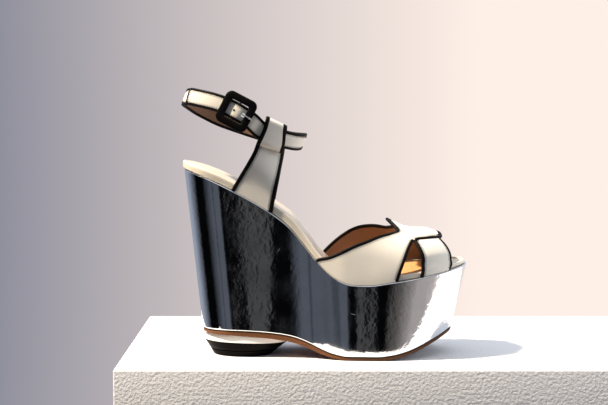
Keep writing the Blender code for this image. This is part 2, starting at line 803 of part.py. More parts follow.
def tube(name, points, radius, look, keep):
    """Round bar along points, with closed ends."""
    curve = bpy.data.curves.new(name, "CURVE")
    curve.dimensions = "3D"
    curve.bevel_depth = radius * MM
    curve.bevel_resolution = 1
    curve.use_fill_caps = True
    line = curve.splines.new("POLY")
    line.points.add(len(points) - 1)
    for spot, point in zip(line.points, points):
        spot.co = (*(Vector(point) * MM), 1.0)
    guide = bpy.data.objects.new(name + "_guide", curve)
    bpy.context.scene.collection.objects.link(guide)
    bpy.context.view_layer.update()
    mesh = bpy.data.meshes.new_from_object(guide.evaluated_get(bpy.context.evaluated_depsgraph_get()))
    bpy.data.objects.remove(guide)
    shape = bmesh.new()
    shape.from_mesh(mesh)
    bmesh.ops.remove_doubles(shape, verts=shape.verts, dist=0.01 * MM)
    bmesh.ops.scale(shape, vec=(1 / MM, 1 / MM, 1 / MM), verts=shape.verts)
    return finish_mesh(name, shape, look, keep)


def stand_on_origin(shoe, pieces):
    """Move the shoe so that its box stands centred on the origin."""
    bpy.context.view_layer.update()
    graph = bpy.context.evaluated_depsgraph_get()
    corners = []
    for piece in pieces:
        body = piece.evaluated_get(graph)
        corners += [body.matrix_world @ vertex.co for vertex in body.data.vertices]
    for axis in (0, 1):
        places = [corner[axis] for corner in corners]
        shoe.location[axis] = -(min(places) + max(places)) / 2


def main():
    """Build the sandal."""
    for old in list(bpy.data.objects):
        bpy.data.objects.remove(old)
    keep = bpy.data.collections.new("wedge_sandal")
    tools = bpy.data.collections.new("wedge_sandal_tools")
    bpy.context.scene.collection.children.link(keep)
    bpy.context.scene.collection.children.link(tools)
    shoe = bpy.data.objects.new("shoe", None)
    ring = bpy.data.objects.new("ankle_ring", None)
    keep.objects.link(shoe)
    keep.objects.link(ring)
    ring.parent = shoe
    ring.location = Vector(RING_CENTRE) * MM
    ring.rotation_euler = (0.0, RING_TILT, 0.0)

    sole = [make_wedge(keep), make_outsole(keep), make_footbed(keep), make_insole(keep)]
    sole += make_heel_layers(keep)
    sole.append(make_upper(keep, tools))
    sole.append(make_quarter_strap("quarter_strap_lateral", -1, LATERAL_DROP, keep))
    sole.append(make_quarter_strap("quarter_strap_medial", 1, MEDIAL_DROP, keep))
    for piece in sole:
        piece.parent = shoe
    bpy.context.view_layer.update()
    straps = [make_ankle_strap(ring, keep, tools)] + make_buckle(ring, keep, tools)
    for tool in tools.objects:
        if tool.parent is None:
            tool.parent = shoe
        tool.hide_render = True
        tool.display_type = "WIRE"
    stand_on_origin(shoe, sole + straps)


main()
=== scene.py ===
"""Finished look of a wedge platform sandal, the right shoe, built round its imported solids.

Tables and constants of the shoe are in millimetres in its own directions: x from the back of the heel
to the toe, y to the inner side of the foot and z over the floor. Settings and the stage are in metres.
"""

import math
from collections import namedtuple

import bpy
from mathutils import Matrix, Vector


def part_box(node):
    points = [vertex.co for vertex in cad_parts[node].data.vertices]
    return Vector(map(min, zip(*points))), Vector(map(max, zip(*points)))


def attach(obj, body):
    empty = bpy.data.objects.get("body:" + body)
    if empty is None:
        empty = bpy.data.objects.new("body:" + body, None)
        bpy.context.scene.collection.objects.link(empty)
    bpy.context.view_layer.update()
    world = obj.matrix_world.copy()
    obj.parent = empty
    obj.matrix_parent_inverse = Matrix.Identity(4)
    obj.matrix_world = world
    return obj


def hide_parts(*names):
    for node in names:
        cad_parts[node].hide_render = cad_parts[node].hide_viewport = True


bl_info = {
    "name": "Wedge platform sandal",
    "version": (1, 0, 0),
    "blender": (4, 5, 0),
    "location": "View3D > Sidebar > Sandal",
    "description": "Dresses the solids of a wedge platform sandal in leather, film and bindings",
    "category": "Object",
}

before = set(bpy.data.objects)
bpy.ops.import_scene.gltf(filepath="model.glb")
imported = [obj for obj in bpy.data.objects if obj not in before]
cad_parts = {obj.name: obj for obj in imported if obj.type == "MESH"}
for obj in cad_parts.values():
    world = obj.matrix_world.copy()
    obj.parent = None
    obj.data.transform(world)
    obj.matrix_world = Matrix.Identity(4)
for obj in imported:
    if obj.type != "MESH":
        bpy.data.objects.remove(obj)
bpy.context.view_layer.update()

# Metres in a millimetre, gap between neighbouring pieces, and reach of a weld in metres
MM = 0.001
GAP = 0.3
WELD = 1e-6

# Short steps for directions on the upper, the quarter straps and the ankle ring
STEP_X = 0.3
STEP_GIRTH = 0.006
STEP_EDGE = 0.004
STEP_SHARE = 0.02
STEP_FOLD = 0.05
STEP_ANGLE = 1.0

# Rounded edges, closed ends and shading
EDGE_DEGREES = (0, 30, 60)
END_DEGREES = (90, 60, 30)
EDGE_PART = 0.3
CAP_SHARES = (0.4, 0.8)
CORNER_STEPS = 8
SIDE_STEPS = 6
SHARP_ANGLE = 35
WALL_SHARP_ANGLE = 40
WALL_INWARDS = -1.0
WALL_CENTRED = 0.0

# Sole: ends, rounds and edges
HEEL_BACK = 1.4
TOE_TIP = 233.8
HEEL_ROUND = 31.0
TOE_ROUND = 62.0
TOE_POWER = 2.1
STATIONS = 150
WEDGE_BOTTOM_BACK = 15.6
WEDGE_BOTTOM_FRONT = 222.0
WEDGE_EDGE = 0.8
WEDGE_ROWS = 24
WEDGE_SUPPORTS = (0.003, 0.012)
OUTSOLE_INSET = 0.5
OUTSOLE_EDGE = 0.6
SOLE_TOP_EDGE = 0.15
SOLE_JOINT = 0.6
BED_TUCK = 0.8
SOCK_THICKNESS = 0.7
SOCK_EDGE = 0.45
SOCK_SEAM = 118.0
SEAM_TURN = 0.2
SEAM_GROOVE = 0.7
# Pinhole in the sock, a dark spot of painted shade: its place, and the inner and outer radii of the spot
PINHOLE = Vector((98.5, 24.0))
PINHOLE_INNER = 1.1
PINHOLE_OUTER = 1.5

# Upper: seat, arch and edges
UPPER_INSET = 0.8
SEAT_GAP = 0.35
ARCH_POWER = 2.4
UPPER_INSIDE = Vector((170.0, 0.0, 50.0))
TRIM_LIMIT = 4
TRIM_SQUARE = 0.2
GIRTH_STEPS = 64
TAB_STEPS = 28
NOTCH = TAB_STEPS / GIRTH_STEPS
VAMP_COLUMNS = 48
TAB_COLUMNS = 20
TAB_FRONT = 212.8
TAB_CORNER = 3.0
TAB_CORNER_POWER = 8
TAB_TRIM_START = 0.15
TAB_GIRTH_LENGTH = 50.0
TAB_SIDE_END = 0.97
TAB_SIDE_POINTS = 30
TAB_FRONT_POINTS = 60
TAB_INSIDE = 178.0
BAND_STEP = 0.9
BAND_COLUMNS = 24
BINDING_SIDES = 14
BINDING_POWER = 2.6
THREAD_SIDES = 5

# Straps and the ankle ring, which leans forward
STRAP_INSET = 1.8
STRAP_FOOT = 9.0
STRAP_RISE = 46.0
RING_CENTRE = Vector((50.6, -0.5, 191.7))
RING_TILT = math.radians(20.3)
RING_LENGTH = 102.6
RING_WIDTH = 69.0
RING_POWER = 2.2
RING_SIDE_END = 0.999
ANKLE_WIDTH = 14.2
ANKLE_CROWN = 0.25
ANKLE_STEP = 1.5
ANKLE_COLUMNS = 12
BAR_ANGLE = 84.0
TIP_ANGLE = 27.0
TIP_ROUND = 3.0
TIP_SHARE = 0.8
TIP_POINTS = 8
TIP_INSIDE = 10.0
HOLE_SIDES = 24

# Buckle: frame, its window and its bar
FRAME_LENGTH = 27.0
FRAME_WIDTH = 27.0
FRAME_BAR = 6.0
FRAME_SIDE = 6.0
FRAME_THICKNESS = 1.9
FRAME_CORNER = 5.2
FRAME_POWER = 2.8
FRAME_SIDES = 20
WINDOW_CORNER = 1.2
FRAME_LIFT = 4.75
BAR_RADIUS = 0.6
BAR_LIFT = 1.85
BAR_CORNER = 0.8
BAR_SIDES = 10
PRONG_RADIUS = 0.6
PRONG_SIDES = 12

# Wedge's top edge: height of its seat, middle of its width and half its width
Seat = namedtuple("Seat", "x seat mid half")
SEAT_LINE = [
    Seat(0, 152.4, 0.0, 31.0),
    Seat(20, 145.6, -0.2, 31.2),
    Seat(45, 133.8, -0.6, 31.2),
    Seat(70, 119.4, -1.4, 30.8),
    Seat(86, 107.4, -2.2, 30.6),
    Seat(98, 93.2, -2.8, 31.0),
    Seat(110, 78.4, -3.85, 33.05),
    Seat(122, 67.4, -4.75, 35.95),
    Seat(130, 63.1, -4.9, 38.0),
    Seat(137, 61.2, -4.4, 39.4),
    Seat(150, 60.7, -3.0, 41.6),
    Seat(168, 63.0, -1.4, 43.7),
    Seat(185, 65.4, -0.2, 44.0),
    Seat(200, 67.9, 1.2, 43.4),
    Seat(234, 73.8, 6.5, 41.0),
]

# Underside of the wedge, the thickness of the outsole below it, and how far the sides lean in
Under = namedtuple("Under", "x under outsole tuck")
UNDER_LINE = [
    Under(15, 21.6, 3.0, 2.0),
    Under(35, 22.2, 3.5, 1.8),
    Under(50, 21.8, 3.9, 1.6),
    Under(65, 21.0, 4.3, 1.4),
    Under(80, 19.5, 4.6, 1.2),
    Under(90, 17.6, 4.6, 1.1),
    Under(98, 15.0, 4.6, 1.0),
    Under(106, 11.6, 4.4, 1.0),
    Under(114, 8.0, 4.0, 0.9),
    Under(123, 5.0, 3.3, 0.8),
    Under(134, 3.3, 3.0, 0.8),
    Under(158, 3.3, 3.0, 0.8),
    Under(170, 4.6, 3.0, 1.0),
    Under(184, 8.0, 3.0, 1.6),
    Under(200, 13.8, 3.0, 2.8),
    Under(212, 18.6, 3.0, 3.6),
    Under(222, 22.2, 3.0, 4.0),
]

# Footbed: thickness square to its slope, how far its rim stands inside the wedge's edge, and how far
# the sock's edge lies inside the rim
Bed = namedtuple("Bed", "x thickness inset sock")
BED_LINE = [
    Bed(0, 4.9, -1.4, 2.2),
    Bed(16, 4.9, 0.6, 2.2),
    Bed(34, 4.9, 2.9, 2.2),
    Bed(80, 5.0, 2.9, 2.2),
    Bed(112, 4.0, 2.9, 2.2),
    Bed(140, 3.1, 3.0, 2.2),
    Bed(200, 3.0, 3.0, 2.2),
    Bed(220, 2.5, 3.0, 5.0),
    Bed(234, 1.7, 1.6, 10.0),
]

# Rim of the footbed from the sock's edge to its outside: way in from the outside, and rise over the bed
Rim = namedtuple("Rim", "inset rise")
RIM_SECTION = [
    Rim(2.1, 0.0),
    Rim(2.05, 0.8),
    Rim(1.75, 1.15),
    Rim(1.25, 1.25),
    Rim(0.7, 1.0),
    Rim(0.28, 0.45),
    Rim(0.06, -0.4),
    Rim(0.0, -1.4),
]

# Layers under the heel, each an oval at its top and at its bottom
Oval = namedtuple("Oval", "back front half")
HEEL_BASE_TOP = Oval(19.6, 88.4, 27.2)
HEEL_BASE_BOTTOM = Oval(16.5, 87.6, 28.6)
HEEL_LIFT_TOP = Oval(16.9, 87.0, 28.4)
HEEL_LIFT_BOTTOM = Oval(21.5, 79.5, 26.2)
TOP_PIECE_TOP = Oval(21.8, 79.0, 26.0)
TOP_PIECE_BOTTOM = Oval(24.5, 73.5, 24.2)
HEEL_PLANE_BACK = 12.6
HEEL_PLANE_FALL = 0.0225
TOP_PIECE_HEIGHT = 4.8
OVAL_POWER = 2.3
OVAL_POINTS = 120
HEEL_EDGE = 0.35
LAYER_SHARES = (0.06, 0.35, 0.65, 0.94)

# Crest of the upper over the foot
Crest = namedtuple("Crest", "x height")
CREST_LINE = [
    Crest(108, 160.0),
    Crest(125, 145.0),
    Crest(140, 132.0),
    Crest(155, 120.0),
    Crest(167, 111.4),
    Crest(175, 107.4),
    Crest(184, 103.9),
    Crest(192, 103.0),
    Crest(199, 102.8),
    Crest(206, 100.8),
    Crest(212.5, 98.4),
    Crest(220, 94.0),
    Crest(234, 86.0),
]

# Edges of the vamp and of the toe band round the girth: -1 outer side, 0 crest, 1 inner side
Edge = namedtuple("Edge", "girth rear front")
VAMP_EDGES = [
    Edge(-1.0, 108.5, 174.6),
    Edge(-0.92, 119.4, 176.9),
    Edge(-0.79, 134.6, 180.2),
    Edge(-0.66, 149.7, 182.9),
    Edge(-0.50, 162.7, 186.6),
    Edge(-0.42, 168.4, 188.7),
    Edge(-0.30, 174.2, 189.0),
    Edge(-0.13, 169.3, 189.0),
    Edge(0.0, 167.0, 189.0),
    Edge(0.13, 169.3, 189.0),
    Edge(0.32, 173.6, 189.0),
    Edge(0.42, 168.6, 187.6),
    Edge(0.50, 158.8, 182.0),
    Edge(0.69, 139.0, 173.4),
    Edge(0.84, 125.6, 168.4),
    Edge(1.0, 112.5, 163.5),
]
BAND_EDGES = [
    Edge(-1.0, 192.3, 218.2),
    Edge(-0.92, 193.5, 219.6),
    Edge(-0.79, 193.5, 219.4),
    Edge(-0.66, 192.0, 218.4),
    Edge(-0.54, 189.7, 216.7),
    Edge(-0.44, 188.0, 214.4),
    Edge(-0.30, 187.4, 210.8),
    Edge(0.0, 187.4, 209.6),
    Edge(0.30, 187.4, 210.8),
    Edge(0.44, 186.4, 214.4),
    Edge(0.66, 184.0, 218.4),
    Edge(0.84, 183.6, 219.6),
    Edge(1.0, 182.6, 218.6),
]

# Bound edges of the upper: run of girth, count of points, drop, and a spot of leather inside the edge
Bound = namedtuple("Bound", "edges column start end points drop inside_x inside_girth")
UPPER_BOUNDS = [
    Bound(VAMP_EDGES, "rear", -1.0, 1.0, 320, 0.0, 178.0, 0.0),
    Bound(VAMP_EDGES, "front", -1.0, -NOTCH, 80, 0.0, 160.0, -0.8),
    Bound(VAMP_EDGES, "front", 1.0, NOTCH, 80, 0.0, 160.0, 0.8),
    Bound(BAND_EDGES, "rear", -1.0, 1.0, 240, BAND_STEP, 201.0, 0.0),
    Bound(BAND_EDGES, "front", -1.0, 1.0, 240, BAND_STEP, 201.0, 0.0),
]

# Path of one stitch: shares of the binding's reach, of the bite and of the pitch, and its lift in half
# walls and thread radii
Stitch = namedtuple("Stitch", "reach bite pitch walls radii")
STITCH_PATH = [
    Stitch(0.7, 0.0, 0.0, 1.0, 0.5),
    Stitch(1.0, 0.4, 0.0, 1.0, 0.7),
    Stitch(1.0, 1.0, 0.0, 1.0, -0.4),
    Stitch(1.0, 0.7, 0.3, 0.0, 0.0),
    Stitch(0.6, 0.0, 0.6, 0.0, 0.0),
]

# Side of the vamp's front tab: way from its root to its front, and its place round the girth
Tab = namedtuple("Tab", "way girth")
TAB_SIDE = [
    Tab(0.0, 0.4375),
    Tab(0.2, 0.43),
    Tab(0.4, 0.427),
    Tab(0.55, 0.419),
    Tab(0.7, 0.393),
    Tab(0.85, 0.362),
    Tab(1.0, 0.325),
]

# Folds of a quarter strap: its two edges seen from the side, and how far it lies outside the ankle ring
Fold = namedtuple("Fold", "step rear_x rear_z front_x front_z out")
QUARTER_FOLDS = [
    Fold(0, 47.5, 147.2, 75.9, 128.0, 0.0),
    Fold(1, 53.6, 157.2, 78.3, 140.5, 0.0),
    Fold(2, 59.2, 167.2, 80.6, 153.0, -1.6),
    Fold(3, 62.4, 175.6, 82.7, 164.0, -2.6),
    Fold(4, 66.4, 183.6, 84.2, 174.6, -2.6),
    Fold(5, 68.7, 191.4, 85.0, 183.4, -2.6),
    Fold(6, 69.2, 193.5, 85.2, 185.6, -1.9),
    Fold(7, 69.4, 194.6, 85.2, 186.7, 0.0),
    Fold(8, 69.2, 193.5, 85.2, 185.6, 1.9),
    Fold(9, 68.7, 191.4, 85.0, 183.4, 2.6),
    Fold(10, 67.1, 185.6, 84.6, 177.4, 2.6),
    Fold(11, 64.5, 179.6, 83.9, 171.4, 2.6),
    Fold(12, 63.4, 177.2, 83.3, 169.2, 2.6),
    Fold(13, 62.3, 175.0, 82.8, 167.2, 1.8),
    Fold(14, 61.4, 173.2, 82.4, 165.6, 0.3),
]
QUARTER_BASE_REAR = 41.0
QUARTER_BASE_FRONT = 74.0
QUARTER_TURNOVER = 7
QUARTER_ROWS_A_STEP = 8
QUARTER_COLUMNS = 18
Drop = namedtuple("Drop", "rear front")
LATERAL_DROP = Drop(0.0, 0.0)
MEDIAL_DROP = Drop(4.6, 1.6)

# Ankle strap round the ring, from the heel (0) past the outer side (90): its rise over the ring's plane
Sag = namedtuple("Sag", "angle rise")
ANKLE_SAG = [
    Sag(0, 0.0),
    Sag(40, 4.0),
    Sag(70, 6.3),
    Sag(84, 5.2),
    Sag(95, 2.4),
    Sag(107, -2.2),
    Sag(125, -3.2),
    Sag(145, -2.4),
    Sag(180, 0.0),
    Sag(225, -4.0),
    Sag(255, -6.3),
    Sag(285, -7.2),
    Sag(315, -4.8),
    Sag(340, -1.7),
    Sag(360, 0.0),
]

# Layers of the ankle strap along its turn from the bar: how far it lies outside the ring
Layer = namedtuple("Layer", "turn out")
ANKLE_LAYERS = [
    Layer(0, 0.0),
    Layer(339, 0.0),
    Layer(347, 2.4),
    Layer(353.4, 2.55),
    Layer(357, 4.2),
    Layer(360, 4.1),
    Layer(366.6, 2.55),
    Layer(373.5, 2.4),
    Layer(430, 2.25),
]

# Holes in the free end: the one that the prong uses, and the next
Hole = namedtuple("Hole", "turn radius depth")
PRONG_HOLES = [
    Hole(354.6, 1.8, 5.0),
    Hole(361.9, 1.0, 3.4),
]

# Middle line of the prong: its way along the strap from the bar, and its lift over the frame's middle
Pin = namedtuple("Pin", "along lift")
PRONG_LINE = [
    Pin(1.6, -3.8),
    Pin(4.5, -3.8),
    Pin(5.4, -3.0),
    Pin(5.7, 0.5),
    Pin(6.6, 1.7),
    Pin(9.2, 1.95),
    Pin(13.2, 1.8),
]

# Soft creases of the upper: both ends as x and girth, how wide, and how deep
Crease = namedtuple("Crease", "x girth to_x to_girth width depth")
CREASES = [
    Crease(187.0, -0.87, 223.0, -0.80, 5.0, 0.95),
    Crease(187.0, 0.87, 223.0, 0.80, 5.0, 0.8),
    Crease(128.0, -0.90, 170.0, -0.84, 6.0, 0.30),
    Crease(140.0, -0.74, 172.0, -0.52, 7.0, 0.25),
    Crease(140.0, 0.74, 168.0, 0.56, 7.0, 0.30),
]
GIRTH_LENGTH = 72.0

# Where painted shade darkens the sole's edge towards the ball: start and end of the darkening
SOLE_PAINTED_SHADE = (95.0, 150.0)

# Where the film bends round the toe and the heel, its mottle where it is flat, and how that grows
FILM_BENDS = ((135, 195), (36, 6))
FLAT_MOTTLE = 0.42
BENT_MOTTLE = 0.58

# Scuffs of the film on its outer side: place, half its length, half its width and its lean
Scuff = namedtuple("Scuff", "x z length width lean")
SCUFFS = [
    Scuff(138.5, 38.0, 3.0, 0.25, 12),
    Scuff(79.0, 88.0, 2.6, 0.22, -55),
    Scuff(71.0, 84.0, 1.6, 0.2, -65),
    Scuff(128.0, 92.0, 2.0, 0.2, -40),
]
SCUFF_REACH = 0.01
SCUFF_CORE = 0.4

# Leathers and threads: colour setting, roughness, depth of grain, unevenness of tone, coat and shine
Leather = namedtuple("Leather", "colour roughness grain tone coat shine")
LEATHERS = {
    "cream_leather": Leather("cream", 0.44, 0.00014, 0.035, 0.08, 0.4),
    "wrap_leather": Leather("wrap", 0.42, 0.00012, 0.05, 0.1, 0.4),
    # The heel leather's own lighter colour is partly painted bounce light from the board, over the leather's
    # cream
    "heel_leather": Leather("heel_base", 0.42, 0.0001, 0.03, 0.1, 0.4),
    "lining_leather": Leather("lining", 0.6, 0.0001, 0.12, 0.0, 0.4),
    "binding_leather": Leather("binding", 0.5, 0.0001, 0.2, 0.0, 0.1),
    "cover_leather": Leather("binding", 0.4, 0.0001, 0.2, 0.03, 0.12),
    "thread": Leather("thread", 0.7, 0.0001, 0.1, 0.0, 0.1),
    "sole_joint": Leather("thread", 0.7, 0.0001, 0.2, 0.0, 0.1),
}

# Roughness of the rubbers
RUBBERS = {"lift_rubber": 0.42, "tread_rubber": 0.55}

# Room that the film mirrors: soft cards by bearing in degrees from the near side (0) to the toe (90)
COOL = (0.86, 0.95, 1.16)
NEUTRAL = (1.0, 0.99, 1.0)
WARM = (1.08, 0.98, 0.94)
Card = namedtuple("Card", "start full_from full_to end light tone")
ROOM_CARDS = [
    Card(-180, -165, -136, -94, 0.38, COOL),
    Card(-66, -38, -14.0, -9.6, 0.1, COOL),
    Card(-36, -33.5, -32, -29, 0.062, COOL),
    Card(-6.1, -5.2, -4.0, -2.9, 0.072, NEUTRAL),
    Card(7, 13, 170, 180, 0.085, WARM),
    Card(16, 44, 170, 180, 0.38, WARM),
    Card(62, 92, 170, 180, 0.8, WARM),
]

# Spans of direction over which the surroundings change, and the sky's share behind the shoe
BACKDROP_SPAN = (-0.235, 0.13)
FRONT_SPAN = (-0.1, 0.4)
SKY_SPAN = (0.55, 0.85)
ROOM_SPAN = (-0.05, 0.2)
SKY_BEHIND = 0.6

# Board and lamps, in metres
BOARD_PLACE = (0.17, 0.049, -0.05)
BOARD_SIZE = (0.67, 0.25, 0.1)
BOARD_EDGE = 0.0015
KEY_SIZE = 0.18
FILL_SIZE = 0.5
LAMP_AIM = Vector((0.0, 0.0, 0.09))
SENSOR_WIDTH = 36.0


# Shapes of the shoe, in its own millimetres


def value(rows, column, at):
    """Smooth value of a table's column, with no overshoot between its rows."""
    last = len(rows) - 1
    if at <= rows[0][0]:
        return getattr(rows[0], column)
    if at >= rows[last][0]:
        return getattr(rows[last], column)
    i = max(k for k in range(last) if rows[k][0] <= at)

    def grade(k):
        rise = getattr(rows[k + 1], column) - getattr(rows[k], column)
        return rise / (rows[k + 1][0] - rows[k][0])

    def slope(k):
        if k == 0 or k == last:
            return grade(min(k, last - 1))
        before, after = grade(k - 1), grade(k)
        return 2 * before * after / (before + after) if before * after > 0 else 0.0

    span = rows[i + 1][0] - rows[i][0]
    t = (at - rows[i][0]) / span
    start, end = slope(i) * span, slope(i + 1) * span
    low, high = getattr(rows[i], column), getattr(rows[i + 1], column)
    return (
        (2 * t**3 - 3 * t**2 + 1) * low
        + (t**3 - 2 * t**2 + t) * start
        + (3 * t**2 - 2 * t**3) * high
        + (t**3 - t**2) * end
    )


def seat_height(x):
    """Height of the wedge's top edge."""
    return value(SEAT_LINE, "seat", x)


def middle(x):
    """Middle of the wedge's width."""
    return value(SEAT_LINE, "mid", x)


def upright(x, thickness):
    """Height that a thickness square to the seat's slope takes up."""
    slope = seat_height(x + 0.5) - seat_height(x - 0.5)
    return thickness * math.hypot(1.0, slope)


def half_width(x):
    """Half the wedge's width at its top, rounded off at heel and toe."""
    half = value(SEAT_LINE, "half", x)
    heel = (HEEL_BACK + HEEL_ROUND - x) / HEEL_ROUND
    toe = (x - TOE_TIP + TOE_ROUND) / TOE_ROUND
    if heel > 0:
        half *= math.sqrt(max(0.0, 1 - heel**2))
    if toe > 0:
        half *= max(0.0, 1 - toe**TOE_POWER) ** (1 / TOE_POWER)
    return half


def outline(inset_at):
    """Plan of the wedge's top edge, moved in by inset_at(x): a closed loop of (x, y)."""
    lateral, medial = [], []
    for i in range(STATIONS + 1):
        x = HEEL_BACK + (TOE_TIP - HEEL_BACK) * (1 - math.cos(math.pi * i / STATIONS)) / 2
        mid, half = middle(x), half_width(x)
        lateral.append(Vector((x, mid - half)))
        medial.append(Vector((x, mid + half)))
    loop = lateral + medial[-2:0:-1]
    moved = []
    for i, point in enumerate(loop):
        along = loop[(i + 1) % len(loop)] - loop[i - 1]
        inward = Vector((-along.y, along.x)).normalized()
        moved.append(point + inward * inset_at(point.x))
    return moved


def at_height(loop, height_at):
    """Plan loop lifted to a height over the floor that depends on x."""
    return [Vector((point.x, point.y, height_at(point.x))) for point in loop]


def between(first, second, share):
    """Ring a share of the way from one ring to another."""
    return [a.lerp(b, share) for a, b in zip(first, second)]


def steps(start, end, count):
    """Even values from start to end."""
    return [start + (end - start) * i / count for i in range(count + 1)]


def edge_round(radius):
    """Ways in and down of a rounded edge, from its face to its side."""
    angles = [math.radians(degrees) for degrees in EDGE_DEGREES]
    return [(radius * (1 - math.sin(angle)), radius * (1 - math.cos(angle))) for angle in angles]


def cap(ring):
    """Rings that close a ring over, from its own middle line outwards."""
    count = len(ring)
    folded = [(ring[i] + ring[-i % count]) / 2 for i in range(count)]
    return [folded] + [between(folded, ring, share) for share in CAP_SHARES]


def closed_rings(rings):
    """Rings of a skin with both its ends closed over."""
    return cap(rings[0]) + rings + cap(rings[-1])[::-1]


def wedge_bottom(inset):
    """Plan of the wedge's underside, raked forward at the heel and back at the toe."""
    loop = outline(lambda x: value(UNDER_LINE, "tuck", x) + inset)
    back, front = HEEL_BACK + UNDER_LINE[0].tuck, TOE_TIP - UNDER_LINE[-1].tuck
    rake = (WEDGE_BOTTOM_FRONT - WEDGE_BOTTOM_BACK) / (front - back)
    return [Vector((WEDGE_BOTTOM_BACK + (point.x - back) * rake, point.y)) for point in loop]


def under_height(x):
    """Height of the wedge's underside."""
    return value(UNDER_LINE, "under", x)


def outsole_bottom(x):
    """Height of the outsole's underside."""
    return under_height(x) - GAP - value(UNDER_LINE, "outsole", x)


def sole_top_ring(inset, down):
    """Ring of the outsole, a way in from its side and a way down from its top."""
    return at_height(wedge_bottom(OUTSOLE_INSET + inset), lambda x: under_height(x) - GAP - down)


def sole_low_ring(inset, up):
    """Ring of the outsole, a way in from its side and a way up from its underside."""
    return at_height(wedge_bottom(OUTSOLE_INSET + inset), lambda x: outsole_bottom(x) + up)


def heel_plane(x):
    """Height of the underside of the heel's base, which slopes down to the front."""
    return HEEL_PLANE_BACK - HEEL_PLANE_FALL * (x - HEEL_BASE_BOTTOM.back)


def bed_inset(x):
    """How far the footbed's rim stands inside the wedge's edge."""
    return value(BED_LINE, "inset", x)


def bed_top(x):
    """Height of the footbed's top."""
    return seat_height(x) + upright(x, GAP + value(BED_LINE, "thickness", x))


def bed_ring(inset, rise):
    """Ring on the footbed, a way in from its rim and a rise over its top."""
    loop = outline(lambda x: bed_inset(x) + inset)
    return at_height(loop, lambda x: bed_top(x) + upright(x, rise))


def sock_ring(inset, rise):
    """Ring of the sock, a way in from its edge and a rise over the footbed's top."""
    loop = outline(lambda x: bed_inset(x) + value(BED_LINE, "sock", x) + inset)
    return at_height(loop, lambda x: bed_top(x) + upright(x, rise))


def smaller(shape, inset):
    """Oval moved in all round."""
    return Oval(shape.back + inset, shape.front - inset, shape.half - inset)


def squared(share, power):
    """Cosine or sine of a rounded square's angle: more than a power of 2 flattens the sides."""
    return math.copysign(abs(share) ** (2 / power), share)


def oval(shape, height_at):
    """Ring of a heel layer."""
    centre, length = (shape.back + shape.front) / 2, (shape.front - shape.back) / 2
    loop = []
    for i in range(OVAL_POINTS):
        angle = math.pi * (2 * i / OVAL_POINTS - 1)
        x = centre + length * squared(math.cos(angle), OVAL_POWER)
        y = shape.half * squared(math.sin(angle), OVAL_POWER)
        loop.append(Vector((x, y + middle(x))))
    return at_height(loop, height_at)


def arch_point(x, girth, drop):
    """Point of the arch over the foot, square to the floor at its ends."""
    girth = max(-1.0, min(1.0, girth))
    base = seat_height(x) + upright(x, SEAT_GAP)
    height = value(CREST_LINE, "height", x) - drop - base
    angle = girth * math.pi / 2
    across = math.copysign(abs(math.sin(angle)) ** (2 / ARCH_POWER), girth)
    y = middle(x) + (half_width(x) - UPPER_INSET) * across
    return Vector((x, y, base + height * max(0.0, math.cos(angle)) ** (2 / ARCH_POWER)))


def arch_run(x, girth, drop):
    """Short run along the arch, over two steps of x."""
    return arch_point(x + STEP_X, girth, drop) - arch_point(x - STEP_X, girth, drop)


def upper_normal(x, girth, drop):
    """Outward direction of the upper's outer face."""
    round_foot = arch_point(x, girth + STEP_GIRTH, drop) - arch_point(x, girth - STEP_GIRTH, drop)
    return round_foot.cross(arch_run(x, girth, drop)).normalized() * -1


def crease_depth(x, girth):
    """How deep the creases are at a point of the upper."""
    spot = Vector((x, girth * GIRTH_LENGTH))
    depth = 0.0
    for crease in CREASES:
        start = Vector((crease.x, crease.girth * GIRTH_LENGTH))
        along = Vector((crease.to_x, crease.to_girth * GIRTH_LENGTH)) - start
        share = (spot - start).dot(along) / along.length_squared
        if 0.0 < share < 1.0:
            away = (spot - start - along * share).length / crease.width
            depth += crease.depth * math.exp(-away * away) * math.sin(math.pi * share) ** 0.5
    return depth


def upper_point(x, girth, drop):
    """Point of the upper's outer face, with its creases."""
    return arch_point(x, girth, drop) - upper_normal(x, girth, drop) * crease_depth(x, girth)


def wall_middle(x, girth, drop, wall):
    """Point in the middle of the upper's wall, with its normal."""
    normal = upper_normal(x, girth, drop)
    return upper_point(x, girth, drop) - normal * wall / 2, normal


def trimmed_edge(edges, column, girth, drop, trim):
    """x of an edge of the upper, moved in square to the edge by a trim."""
    x = value(edges, column, girth)
    ahead, behind = min(1.0, girth + STEP_EDGE), max(-1.0, girth - STEP_EDGE)
    run = arch_point(value(edges, column, ahead), ahead, drop)
    run = (run - arch_point(value(edges, column, behind), behind, drop)).normalized()
    along = arch_run(x, girth, drop) / (2 * STEP_X)
    square = along - run * along.dot(run)
    shift = min(TRIM_LIMIT * trim, trim / max(TRIM_SQUARE, square.length))
    return x + shift if column == "rear" else x - shift


def tab_girth(share, t, trim):
    """Girth of a point of the front tab: share across it, t from its root to its front."""
    half = value(TAB_SIDE, "girth", t)
    narrowing = trim / TAB_GIRTH_LENGTH * min(1.0, t / TAB_TRIM_START)
    return share * (half - narrowing)


def tab_front(share, trim):
    """x of the tab's front edge."""
    return TAB_FRONT - trim - TAB_CORNER * abs(share) ** TAB_CORNER_POWER


def ring_point(angle):
    """Point of the ankle ring's middle line, in the ring's own plane."""
    x = -RING_LENGTH / 2 * squared(math.cos(math.radians(angle)), RING_POWER)
    y = -RING_WIDTH / 2 * squared(math.sin(math.radians(angle)), RING_POWER)
    return Vector((x, y, 0.0))


def ring_side(x, z):
    """Half the ankle ring's width where the side view has the point x, z."""
    local = (x - RING_CENTRE.x) * math.cos(RING_TILT) - (z - RING_CENTRE.z) * math.sin(RING_TILT)
    share = min(RING_SIDE_END, abs(local) / (RING_LENGTH / 2))
    return RING_WIDTH / 2 * (1 - share**RING_POWER) ** (1 / RING_POWER)


def ring_matrix():
    """Place of the ankle ring's plane in the shoe."""
    return Matrix.Translation(RING_CENTRE) @ Matrix.Rotation(RING_TILT, 4, "Y")


